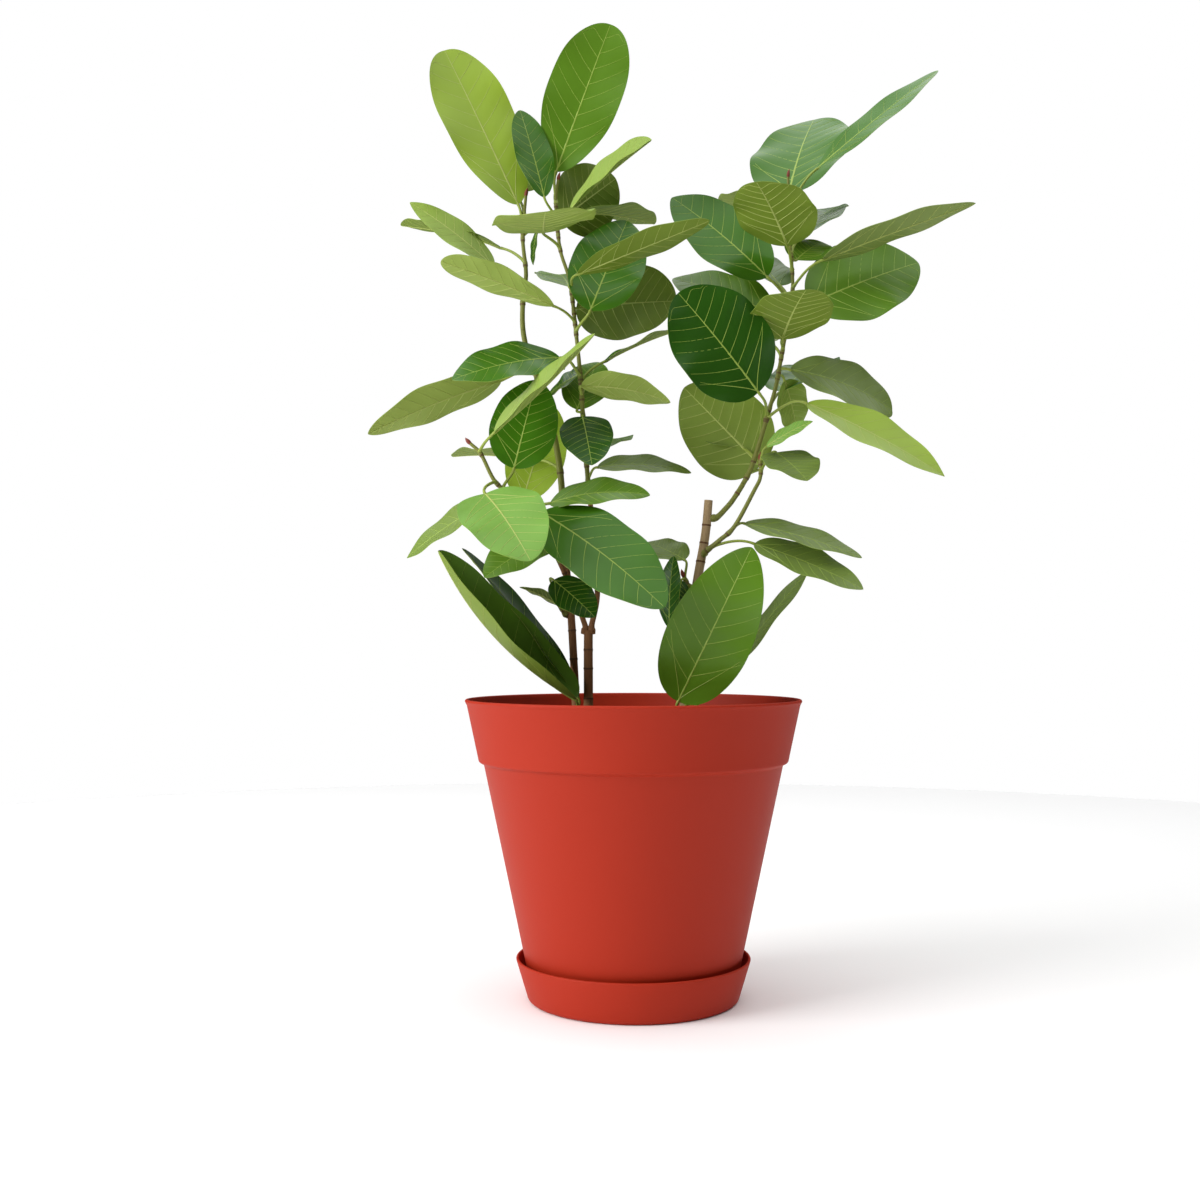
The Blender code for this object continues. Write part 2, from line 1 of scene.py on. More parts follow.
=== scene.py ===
# %% [markdown]
# # A potted banyan
# A young banyan stands in a clay-red plastic pot on its saucer: three stems, two of them
# forked, and long shoots that carry big oval leaves. Its solids come in first as a fixed
# frame, and this notebook dresses them: bark and green shoots with their rings, veined leaves,
# a pot with a smooth rounded lip, and crumbly soil. Almost every surface is worked out with
# numpy as a function of two parameters on a grid, because then one formula gives the form, and
# its numbers can be changed and tried again. The sizes of the plant and the pot are in
# millimetres; camera, lamps and floor are in metres.

# %% Start from an empty scene and load the frame
import json
import math
import random

import bmesh
import bpy
import numpy as np
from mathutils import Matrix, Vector

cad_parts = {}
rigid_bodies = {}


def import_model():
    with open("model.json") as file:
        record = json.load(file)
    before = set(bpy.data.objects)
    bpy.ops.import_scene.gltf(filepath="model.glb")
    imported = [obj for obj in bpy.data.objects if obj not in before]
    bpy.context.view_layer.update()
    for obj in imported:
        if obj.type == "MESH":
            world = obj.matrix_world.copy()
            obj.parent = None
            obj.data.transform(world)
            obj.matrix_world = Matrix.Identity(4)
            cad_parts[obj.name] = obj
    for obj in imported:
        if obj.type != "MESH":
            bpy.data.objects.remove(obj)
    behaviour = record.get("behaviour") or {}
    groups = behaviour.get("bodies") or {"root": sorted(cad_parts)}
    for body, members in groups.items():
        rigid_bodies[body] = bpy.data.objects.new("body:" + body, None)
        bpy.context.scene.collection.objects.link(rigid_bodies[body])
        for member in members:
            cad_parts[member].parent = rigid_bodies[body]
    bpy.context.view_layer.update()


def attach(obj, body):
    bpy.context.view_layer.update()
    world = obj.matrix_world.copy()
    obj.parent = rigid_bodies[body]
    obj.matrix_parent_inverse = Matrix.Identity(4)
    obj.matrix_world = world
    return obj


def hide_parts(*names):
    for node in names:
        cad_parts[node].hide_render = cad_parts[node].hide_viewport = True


MM = 0.001

for thing in list(bpy.data.objects):
    bpy.data.objects.remove(thing, do_unlink=True)
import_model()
scene = bpy.context.scene

# %% [markdown]
# ## Camera
# The pot's round edges show as narrow ellipses, so the photo was taken from pot height with an
# almost level camera. The ellipses of the rim, the pot's foot and the saucer give its height
# and distance; a small pitch and yaw bring the pot to its place in the frame.

# %% Camera
lens = bpy.data.cameras.new("camera")
lens.lens = 41.1
lens.sensor_width = 36.0
camera = bpy.data.objects.new("camera", lens)
camera.location = (0.0, -1.230, 0.313)
camera.rotation_euler = (math.radians(91.88), 0.0, math.radians(1.38))
scene.collection.objects.link(camera)
scene.camera = camera
print("camera at", tuple(camera.location))

# %% [markdown]
# ## Light
# A studio photo on white: a strong soft lamp at the left models the pot, whose right side is
# darker, and a very wide lamp overhead whitens the floor, which throws light back up on the
# undersides of the leaves. The surroundings look white to the camera but give little light.


# %% Light
def soft_lamp(name, place, aim, width, power):
    """A square lamp of some width in metres that looks at a point."""
    lamp = bpy.data.lights.new(name, "AREA")
    lamp.size = width
    lamp.energy = power
    made = bpy.data.objects.new(name, lamp)
    made.location = place
    made.rotation_euler = (Vector(aim) - Vector(place)).to_track_quat("-Z", "Y").to_euler()
    scene.collection.objects.link(made)
    return made


soft_lamp("key_lamp", (-1.9, -1.0, 1.1), (0, 0, 0.4), 1.3, 46)
soft_lamp("top_lamp", (0.0, 0.0, 4.0), (0, 0.001, 0), 8.0, 340)

world = bpy.data.worlds.new("white_studio")
world.use_nodes = True
tree = world.node_tree
sky = tree.nodes["Background"]
sky.inputs["Color"].default_value = (1.0, 1.0, 1.0, 1.0)
ray = tree.nodes.new("ShaderNodeLightPath")
strength = tree.nodes.new("ShaderNodeMapRange")
strength.inputs["To Min"].default_value = 0.06
strength.inputs["To Max"].default_value = 1.0
tree.links.new(ray.outputs["Is Camera Ray"], strength.inputs["Value"])
tree.links.new(strength.outputs["Result"], sky.inputs["Strength"])
scene.world = world
scene.view_settings.view_transform = "Standard"

# %% [markdown]
# ## Finishes
# Each finish is one Principled shader with a plain base colour, given as it looks on a screen
# and turned into the linear light that a shader works in. Leaves are satin above and matte
# below, young ones lighter and yellower than old ones. The upper face of the grey tone is partly
# the leaf's own green and partly a painted reflection: it is lighter and greyer, as the white
# surroundings look on up-facing leaves seen at a grazing view.


# %% Finishes
def linear(red, green, blue):
    """Screen colour, 0 to 255, to linear light: ((c + 0.055) / 1.055) to the power 2.4."""
    shares = [channel / 255 for channel in (red, green, blue)]
    light = [c / 12.92 if c <= 0.04045 else ((c + 0.055) / 1.055) ** 2.4 for c in shares]
    return (*light, 1.0)


def finish(name, colour, roughness, gloss=0.3, grain=0.0, grain_size=1.0):
    """A plain finish; gloss is how strongly it mirrors light; grain is the height of a fine
    noise relief and grain_size its size, in mm."""
    made = bpy.data.materials.new(name)
    made.use_nodes = True
    tree = made.node_tree
    shader = tree.nodes["Principled BSDF"]
    shader.inputs["Base Color"].default_value = linear(*colour)
    shader.inputs["Roughness"].default_value = roughness
    shader.inputs["Specular IOR Level"].default_value = gloss
    if grain:
        place = tree.nodes.new("ShaderNodeTexCoord")
        noise = tree.nodes.new("ShaderNodeTexNoise")
        bump = tree.nodes.new("ShaderNodeBump")
        noise.inputs["Scale"].default_value = 1000.0 / grain_size
        noise.inputs["Detail"].default_value = 3.0
        bump.inputs["Distance"].default_value = grain * MM
        bump.inputs["Strength"].default_value = 0.6
        tree.links.new(place.outputs["Object"], noise.inputs["Vector"])
        tree.links.new(noise.outputs["Fac"], bump.inputs["Height"])
        tree.links.new(bump.outputs["Normal"], shader.inputs["Normal"])
    return made


FINISHES = {
    "pot_plastic": finish("pot_plastic", (170, 42, 17), 0.6, 0.22, 0.12, 1.6),
    "bark_grown": finish("bark_grown", (138, 96, 62), 0.8),
    "bark_tan": finish("bark_tan", (170, 144, 108), 0.8),
    "bark_ring": finish("bark_ring", (104, 74, 50), 0.85),
    "shoot_green": finish("shoot_green", (120, 124, 56), 0.5),
    "shoot_ring": finish("shoot_ring", (98, 84, 44), 0.6),
    "stalk_green": finish("stalk_green", (146, 162, 70), 0.45),
    "bud_red": finish("bud_red", (126, 58, 44), 0.55),
    "vein_light": finish("vein_light", (152, 176, 76), 0.4),
    "vein_pale": finish("vein_pale", (176, 188, 102), 0.5),
    "leaf_dark": finish("leaf_dark", (40, 84, 12), 0.32),
    "leaf_deep": finish("leaf_deep", (62, 112, 14), 0.3),
    "leaf_mid": finish("leaf_mid", (88, 128, 26), 0.36),
    "leaf_fresh": finish("leaf_fresh", (118, 164, 66), 0.4),
    # Painted reflection: the leaf's own green, lightened and greyed to paint the white sheen that
    # up-facing leaves show at a grazing view.
    "leaf_grey_painted_sheen": finish("leaf_grey_painted_sheen", (114, 138, 58), 0.45),
    "leaf_light": finish("leaf_light", (138, 164, 68), 0.42),
    "leaf_bright": finish("leaf_bright", (146, 174, 52), 0.4),
    "under_olive": finish("under_olive", (114, 136, 42), 0.6),
    "under_grey": finish("under_grey", (122, 142, 68), 0.6),
    "under_pale": finish("under_pale", (146, 166, 74), 0.6),
}
print("finishes:", len(FINISHES))

# %% [markdown]
# ## From grids to meshes
# A surface here is a grid of points. A tube or a leaf closes on itself across the grid, so the
# last column meets the first, and its two ends shrink to one point each. The grid's quads are
# then welded where points fall together, and the faces are turned to point outwards.


# %% Grids and meshes
def grid_faces(rows, columns):
    """Corners of the quads of a grid whose last column meets its first."""
    row = np.arange(rows - 1)[:, None] * columns
    column = np.arange(columns)[None, :]
    after = (column + 1) % columns
    corners = [row + column, row + after, row + columns + after, row + columns + column]
    return np.stack(corners, axis=-1).reshape(-1, 4)


class Skin:
    """Closed grids gathered into one mesh, with a finish for each face."""

    def __init__(self, name, *finishes):
        self.name = name
        self.finishes = finishes
        self.points = []
        self.faces = []
        self.slots = []
        self.count = 0

    def add(self, grid, slots):
        """Add a grid of points (rows, columns, 3); slots is one finish name or one per column."""
        rows, columns, _ = grid.shape
        faces = grid_faces(rows, columns)
        if isinstance(slots, str):
            slots = [slots] * columns
        numbers = np.array([self.finishes.index(slot) for slot in slots])
        self.points.append(grid.reshape(-1, 3))
        self.faces.append(faces + self.count)
        self.slots.append(np.tile(numbers, rows - 1))
        self.count += rows * columns

    def add_rows(self, grid, row_slots):
        """Add a grid whose finish goes by row: row_slots has one finish number per row of faces."""
        rows, columns, _ = grid.shape
        self.points.append(grid.reshape(-1, 3))
        self.faces.append(grid_faces(rows, columns) + self.count)
        self.slots.append(np.repeat(row_slots, columns))
        self.count += rows * columns

    def build(self, slot, *nodes):
        """Make the piece, weld it, and put it in the place of its CAD nodes."""
        piece = mesh_piece(self.name, np.concatenate(self.points), np.concatenate(self.faces),
                           np.concatenate(self.slots), [FINISHES[one] for one in self.finishes])
        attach(piece, "root")
        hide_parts(*nodes)
        print(self.name, len(piece.data.polygons), "faces")
        return piece


def mesh_piece(name, points, faces, slots, materials):
    """A mesh object from arrays: points in metres, corners of the faces, and their finishes."""
    mesh = bpy.data.meshes.new(name)
    sides = faces.shape[1]
    mesh.vertices.add(len(points))
    mesh.vertices.foreach_set("co", points.astype(np.float32).ravel())
    mesh.loops.add(faces.size)
    mesh.loops.foreach_set("vertex_index", faces.astype(np.int32).ravel())
    mesh.polygons.add(len(faces))
    mesh.polygons.foreach_set("loop_start", np.arange(0, faces.size, sides, dtype=np.int32))
    mesh.polygons.foreach_set("material_index", slots.astype(np.int32))
    for material in materials:
        mesh.materials.append(material)
    mesh.update(calc_edges=True)
    work = bmesh.new()
    work.from_mesh(mesh)
    bmesh.ops.remove_doubles(work, verts=work.verts, dist=0.000002)
    bmesh.ops.recalc_face_normals(work, faces=work.faces)
    work.to_mesh(mesh)
    work.free()
    mesh.polygons.foreach_set("use_smooth", np.ones(len(mesh.polygons), dtype=bool))
    mesh.set_sharp_from_angle(angle=math.radians(50))
    piece = bpy.data.objects.new(name, mesh)
    scene.collection.objects.link(piece)
    return piece


# %% [markdown]
# ## Pot and saucer
# Both are thin-walled round mouldings, so one profile of radius and height is carried round
# the axis. The pot has a rounded lip, a band that widens to the rim, a small rounded step, and
# a body that tapers to a rounded foot. The saucer is a flat dish with a rounded edge.

# %% Sizes of the pot and the saucer
RIM_RADIUS = 150.0
RIM_TOP = 265.0
LIP = 3.2
BAND_FOOT_RADIUS = 138.0
BAND_FOOT = 212.0
BAND_ROUND = 3.0
BODY_TOP_RADIUS = 133.4
BODY_TAPER = 0.214
POT_WALL = 3.4
POT_FOOT = 3.9
POT_FOOT_ROUND = 7.0
SAUCER_RIM_RADIUS = 104.0
SAUCER_RIM = 37.0
SAUCER_FOOT_RADIUS = 94.5
SAUCER_ROUND = 5.0
SAUCER_WALL = 2.6
SAUCER_FLOOR = 3.6
SOIL_TOP = 235.0
CLEAR = 0.3
STEP = BAND_FOOT - BAND_ROUND


def body_radius(height):
    """Outer radius of the pot's body: it shrinks evenly from the step down."""
    return BODY_TOP_RADIUS - BODY_TAPER * (STEP - height)


def band_radius(height):
    """Outer radius of the rim band: it grows evenly from its foot to the lip."""
    share = (height - BAND_FOOT) / (RIM_TOP - LIP - BAND_FOOT)
    return BAND_FOOT_RADIUS + share * (RIM_RADIUS - 0.4 * LIP - BAND_FOOT_RADIUS)


def arc(radius, height, bend, start, end, steps):
    """A round corner: centre (radius, height), bend its radius, from start to end degrees."""
    turn = np.radians(np.linspace(start, end, steps))
    return np.stack([radius + bend * np.cos(turn), height + bend * np.sin(turn)], axis=1)


# %% Carry a profile round the axis
def turned(name, profile, slot, node, finish_name, around=160):
    """Point = (r cos a, r sin a, h) for each (r, h) of the profile and each angle a."""
    angle = np.linspace(0, 2 * np.pi, around, endpoint=False)
    profile = np.asarray(profile, dtype=float) * MM
    radius = profile[:, 0:1]
    height = np.repeat(profile[:, 1:2], around, axis=1)
    grid = np.stack([radius * np.cos(angle), radius * np.sin(angle), height], axis=-1)
    skin = Skin(name, finish_name)
    skin.add(grid, finish_name)
    return skin.build(slot, node)


half_lip = LIP / 2
inside_floor = POT_FOOT + POT_WALL
foot_edge = body_radius(POT_FOOT + POT_FOOT_ROUND) - POT_FOOT_ROUND
pot_profile = np.concatenate([
    [(0, POT_FOOT)],
    arc(foot_edge, POT_FOOT + POT_FOOT_ROUND, POT_FOOT_ROUND, -90, -8, 10),
    [(body_radius(STEP - 2.2), STEP - 2.2), (body_radius(STEP) + 0.5, STEP - 0.9)],
    arc(BAND_FOOT_RADIUS - BAND_ROUND, BAND_FOOT, BAND_ROUND, -78, 0, 8),
    [(band_radius(RIM_TOP - LIP - 2.2), RIM_TOP - LIP - 2.2)],
    arc(RIM_RADIUS - half_lip, RIM_TOP - half_lip, half_lip, -40, 160, 12),
    [(band_radius(RIM_TOP - LIP) - POT_WALL + 1.2, RIM_TOP - LIP - 0.6),
     (band_radius(BAND_FOOT + 2) - POT_WALL, BAND_FOOT + 2),
     (body_radius(STEP - 4) - POT_WALL, STEP - 4),
     (body_radius(inside_floor + 6) - POT_WALL, inside_floor + 6),
     (body_radius(inside_floor) - POT_WALL - 2.0, inside_floor),
     (0, inside_floor)],
])
turned("pot_shell", pot_profile, "pot_plastic", "pot", "pot_plastic")

half_wall = SAUCER_WALL / 2
inside_corner = SAUCER_FOOT_RADIUS - SAUCER_WALL
saucer_profile = np.concatenate([
    [(0, 0)],
    arc(SAUCER_FOOT_RADIUS - SAUCER_ROUND, SAUCER_ROUND, SAUCER_ROUND, -90, -6, 8),
    arc(SAUCER_RIM_RADIUS - half_wall, SAUCER_RIM - half_wall, half_wall, 0, 180, 10),
    [(inside_corner, SAUCER_FLOOR + 2.5), (inside_corner - 3.0, SAUCER_FLOOR), (0, SAUCER_FLOOR)],
])
turned("saucer_shell", saucer_profile, "pot_plastic", "saucer", "pot_plastic")

# %% [markdown]
# ## The shoots
# A banyan's shoot is a long, slightly winding rod that thins towards its tip. Each is a smooth
# curve through a few points (right, back, up), as one would bend a wire along the plant.
# Below its leaves it is a woody limb; from there on it is the green stem of its leaves.

# %% Points and radii of the shoots
TIP = 999

# Shoots: points from foot to tip, radius at the foot and at the tip, and the foot's flare
SHOOTS = {
    "left_trunk": ([(-40, -6, 235.3), (-40, -6, 246), (-40, -5, 298), (-40, -5, 326)], 4.3, 3.9, 4.5),
    "left_inner": ([(-37.2, -5, 326.3), (-37, -5, 331), (-32, -4, 358), (-34, -1, 400), (-40, 2, 455),
                    (-45, 2, 519), (-47, 2, 551), (-51, 2, 592), (-57, 3, 642), (-66, 3, 673),
                    (-70, 5, 714), (-68, 6, 738)], 2.6, 1.3, 0.0),
    "left_side": ([(-42.9, -5, 326.3), (-43, -5, 331), (-52, -7, 355), (-68, -14, 392), (-90, -25, 427),
                   (-110, -33, 446), (-122, -36, 458), (-133, -38, 480), (-143, -38, 490)], 2.5, 1.5, 0.0),
    "left_outer": ([(-51, 9, 235.3), (-51, 9, 246), (-56, 8, 341), (-62, 9, 400), (-66, 10, 470),
                    (-78, 12, 530), (-98, 8, 588), (-100, 5, 626), (-97, 4, 650), (-100, 2, 684),
                    (-97, 1, 722)], 3.9, 1.4, 3.5),
    "right_trunk": ([(45, 4, 235.3), (45, 4, 246), (52, 1, 320), (57, 0, 366), (65, 0, 412),
                     (68, 0, 443)], 4.4, 3.8, 4.5),
    "right_main": ([(72.7, 0, 427), (76, 0, 428), (82, 1, 434), (91, 2, 445), (105, 3, 469),
                    (115, 4, 498), (122, 4, 522), (129, 3, 546), (136, 3, 583), (144, 3, 626),
                    (144, 3, 657), (141, 3, 690), (141, 3, 738)], 2.7, 1.2, 0.0),
    "right_front": ([(64.1, -5.5, 395), (65.8, -8.5, 397), (77, -14, 406), (90, -17, 418),
                     (107, -18, 449), (113, -17, 462), (113, -15, 478)], 2.4, 1.5, 0.0),
    "left_foot": ([(-51.4, 3.6, 246), (-51.6, 0.5, 247), (-52, -6, 252)], 2.2, 1.8, 0.0),
    "left_node": ([(-61.0, 7.1, 341), (-62.7, 5, 343), (-67, -2, 349)], 1.9, 1.5, 0.0),
    "right_foot": ([(46.2, -2.0, 247), (46.7, -5, 248), (49, -15, 253)], 2.2, 1.8, 0.0),
    "right_inner": ([(51.2, -0.8, 365), (48.5, -2.3, 368), (45, -5, 375)], 1.9, 1.5, 0.0),
}

# Limbs: shoot, from and to a height, and the finish of its bark
LIMBS = {
    "trunk_left": ("left_trunk", 0, TIP, "bark_grown"),
    "trunk_right": ("right_trunk", 0, TIP, "bark_tan"),
    "stem_left_outer": ("left_outer", 0, 430, "bark_grown"),
    "bough_left_inner": ("left_inner", 0, 440, "bark_grown"),
    "bough_left_side": ("left_side", 0, 386, "bark_grown"),
    "bough_right_main": ("right_main", 0, 458, "shoot_green"),
}

# Masses of leaves: shoot, from and to a height, leaves at the back, and their middle bearing
MASSES = {
    "left_foot": ("left_foot", 0, TIP, 0, 90),
    "left_node": ("left_node", 0, TIP, 0, 90),
    "left_low": ("left_side", 386, TIP, 0, 90),
    "left_middle": ("left_inner", 440, 590, 2, 55),
    "left_crown": ("left_inner", 590, TIP, 2, 78),
    "left_outer": ("left_outer", 430, 600, 2, 125),
    "left_tip": ("left_outer", 600, TIP, 1, 135),
    "right_foot": ("right_foot", 0, TIP, 0, 90),
    "right_inner": ("right_inner", 0, TIP, 0, 90),
    "right_low": ("right_front", 0, TIP, 0, 90),
    "right_middle": ("right_main", 458, 597, 3, 90),
    "right_crown": ("right_main", 597, TIP, 3, 90),
}


# %% Smooth paths
PATH_STEPS = 6
FLARE_RISE = 6.0


def smooth_path(points, steps):
    """Catmull-Rom curve: between b and c, half of 2b + (c-a)t + (2a-5b+4c-d)t^2 + (3b-a-3c+d)t^3."""
    ends = np.concatenate([[2 * points[0] - points[1]], points, [2 * points[-1] - points[-2]]])
    a, b, c, d = (ends[offset:len(ends) - 3 + offset][:, None, :] for offset in range(4))
    t = np.linspace(0, 1, steps, endpoint=False)[None, :, None]
    curve = 0.5 * (2 * b + (c - a) * t + (2 * a - 5 * b + 4 * c - d) * t ** 2
                   + (3 * b - a - 3 * c + d) * t ** 3)
    return np.concatenate([curve.reshape(-1, 3), points[-1:]])


def shoot_path(name):
    """Path and radius in mm: the radius falls evenly along the path and flares at the soil."""
    points, foot, tip, flare = SHOOTS[name]
    path = smooth_path(np.array(points, dtype=float), PATH_STEPS)
    rise = path[:, 2] - path[0, 2]
    radius = np.linspace(foot, tip, len(path)) + flare * np.exp(-rise / FLARE_RISE)
    return path, radius


def point_at(name, height):
    """Point and radius of a shoot at a height, on the line between its path's points."""
    path, radius = shoot_path(name)
    point = [np.interp(height, path[:, 2], path[:, axis]) for axis in range(3)]
    return np.array(point), float(np.interp(height, path[:, 2], radius))


def stretch(name, low, high, spacing):
    """A piece of a shoot from one height to another, in even steps along its length."""
    path, radius = shoot_path(name)
    cut_low = max(low + CLEAR / 2, path[0, 2]) if low > path[0, 2] else path[0, 2]
    cut_high = high - CLEAR / 2 if high < path[-1, 2] else path[-1, 2]
    length = np.concatenate([[0], np.cumsum(np.linalg.norm(np.diff(path, axis=0), axis=1))])
    first, last = np.interp([cut_low, cut_high], path[:, 2], length)
    along = np.linspace(first, last, max(6, int((last - first) / spacing)))
    points = np.stack([np.interp(along, length, path[:, axis]) for axis in range(3)], axis=1)
    return points, np.interp(along, length, radius), along


print("left_inner is", round(float(stretch("left_inner", 0, TIP, 1.0)[2][-1])), "mm long")


# %% [markdown]
# ## Tubes along a path
# At every point of the path two directions across it are needed. One fixed direction that
# the path never runs along gives both with cross products, for the whole path at once. A
# shoot that grows on a stem also runs back into that stem, with a small collar round its foot.

# %% A tube with relief
ROOT_DEPTH = 4.0
ROOT_RINGS = 5
COLLAR = 0.9
COLLAR_WIDTH = 3.0


def tube_grid(path, radius, sides, relief=None):
    """Point = path + r (cos a * across + sin a * over), r raised by relief(angle, row)."""
    along = np.gradient(path, axis=0)
    along /= np.linalg.norm(along, axis=1, keepdims=True)
    fixed = np.eye(3)[np.argmin(np.abs(along).max(axis=0))]
    across = np.cross(along, fixed)
    across /= np.linalg.norm(across, axis=1, keepdims=True)
    over = np.cross(along, across)
    angle = np.linspace(0, 2 * np.pi, sides, endpoint=False)[None, :, None]
    reach = radius[:, None, None] * np.ones((1, sides, 1))
    if relief is not None:
        reach = reach + relief(angle, np.arange(len(path))[:, None, None])
    outwards = np.cos(angle) * across[:, None, :] + np.sin(angle) * over[:, None, :]
    rings = path[:, None, :] + reach * outwards
    caps = np.repeat(path[[0, -1]][:, None, :], sides, axis=1)
    return np.concatenate([caps[:1], rings, caps[1:]]) * MM


def grows_on_stem(shoot, low):
    """True for a shoot's own foot when that foot is well above the soil."""
    return low == 0 and SHOOTS[shoot][0][0][2] > SOIL_TOP + 1


def rooted(path, radius, along):
    """Run the path back by ROOT_DEPTH, and add COLLAR * exp(-(x / COLLAR_WIDTH)^2) at its foot."""
    way = path[0] - path[1]
    way = way / np.linalg.norm(way)
    back = np.linspace(ROOT_DEPTH, 0.8, ROOT_RINGS)
    radius = np.concatenate([np.full(ROOT_RINGS, radius[0]), radius])
    along = np.concatenate([along[0] - back, along])
    radius = radius + COLLAR * np.exp(-((along - along[ROOT_RINGS]) / COLLAR_WIDTH) ** 2)
    return np.concatenate([path[0] + way * back[:, None], path]), radius, along


def rings_on(along, places, width):
    """A row of smooth ridges: the sum of exp(-((x - place) / width)^2) over the places."""
    return np.exp(-((along[:, None] - np.asarray(places)[None, :]) / width) ** 2).sum(axis=1)


# %% [markdown]
# ## Bark
# Fallen leaves and their sheaths leave narrow ring scars round a banyan's stem, every two or
# three centimetres. Between them the young bark is smooth, with shallow lengthwise furrows,
# which are a few sine waves round the stem that wander with height.

# %% Dress the limbs
FURROW = 0.07
FURROW_WAVES = (3, 5, 8, 11)
SCAR = 0.38
SCAR_WIDTH = 0.8
SCAR_SPACING = (16, 34)
dice = np.random.default_rng(11)


def limb_skin(node, shoot, low, high, bark):
    """Tube with relief = furrows + ring scars; the faces on a scar take the ring's finish."""
    path, radius, along = stretch(shoot, low, high, 0.8)
    if grows_on_stem(shoot, low):
        path, radius, along = rooted(path, radius, along)
    start = along[0] + dice.uniform(4, 12)
    scars = np.cumsum(dice.uniform(*SCAR_SPACING, size=40)) + start
    scars = scars[scars < along[-1] - 4]
    ridge = rings_on(along, scars, SCAR_WIDTH)
    phases = dice.uniform(0, 6.28, size=len(FURROW_WAVES))

    def relief(angle, row):
        height = along[row[:, 0, 0]][:, None, None]
        furrow = sum(np.sin(waves * angle + phases[index] + 0.9 * np.sin(height / (9.0 + 5 * index)))
                     for index, waves in enumerate(FURROW_WAVES))
        return FURROW * furrow + SCAR * ridge[:, None, None]

    grid = tube_grid(path, radius, 28, relief)
    skin = Skin("bark_" + node, bark, "bark_ring")
    between = 0.5 * (ridge[1:] + ridge[:-1])
    slots = np.concatenate([[0], (between > 0.45).astype(int), [0]])
    skin.add_rows(grid, slots)
    return skin.build("bark", node)


for node, (shoot, low, high, bark) in LIMBS.items():
    limb_skin(node, shoot, low, high, bark)


# %% [markdown]
# ## How a leaf is laid out
# Each leaf is noted as a grower would: the height at which its stalk leaves the shoot, where
# its blade starts, which way and how far it reaches, how wide it is, which way it faces, and
# its tone. Leaves at the back aren't laid out one by one: the golden angle, by which leaves
# follow each other round a shoot, spreads them about one bearing.

# %% The leaves
UP = (0, 0, 1)


def leaf(at, start, blade, wide, tone, face=UP, bow=0.03, fold=0.12, twist=0, full=0.43, point=1.25):
    """bow lifts the blade's middle, fold lifts its margins, twist turns its tip; full is the
    share of its length where it is widest, point how pointed its ends are, from 1, round."""
    return {"at": at, "start": start, "blade": blade, "wide": wide, "tone": tone, "face": face,
            "bow": bow, "fold": fold, "twist": twist, "full": full, "point": point}


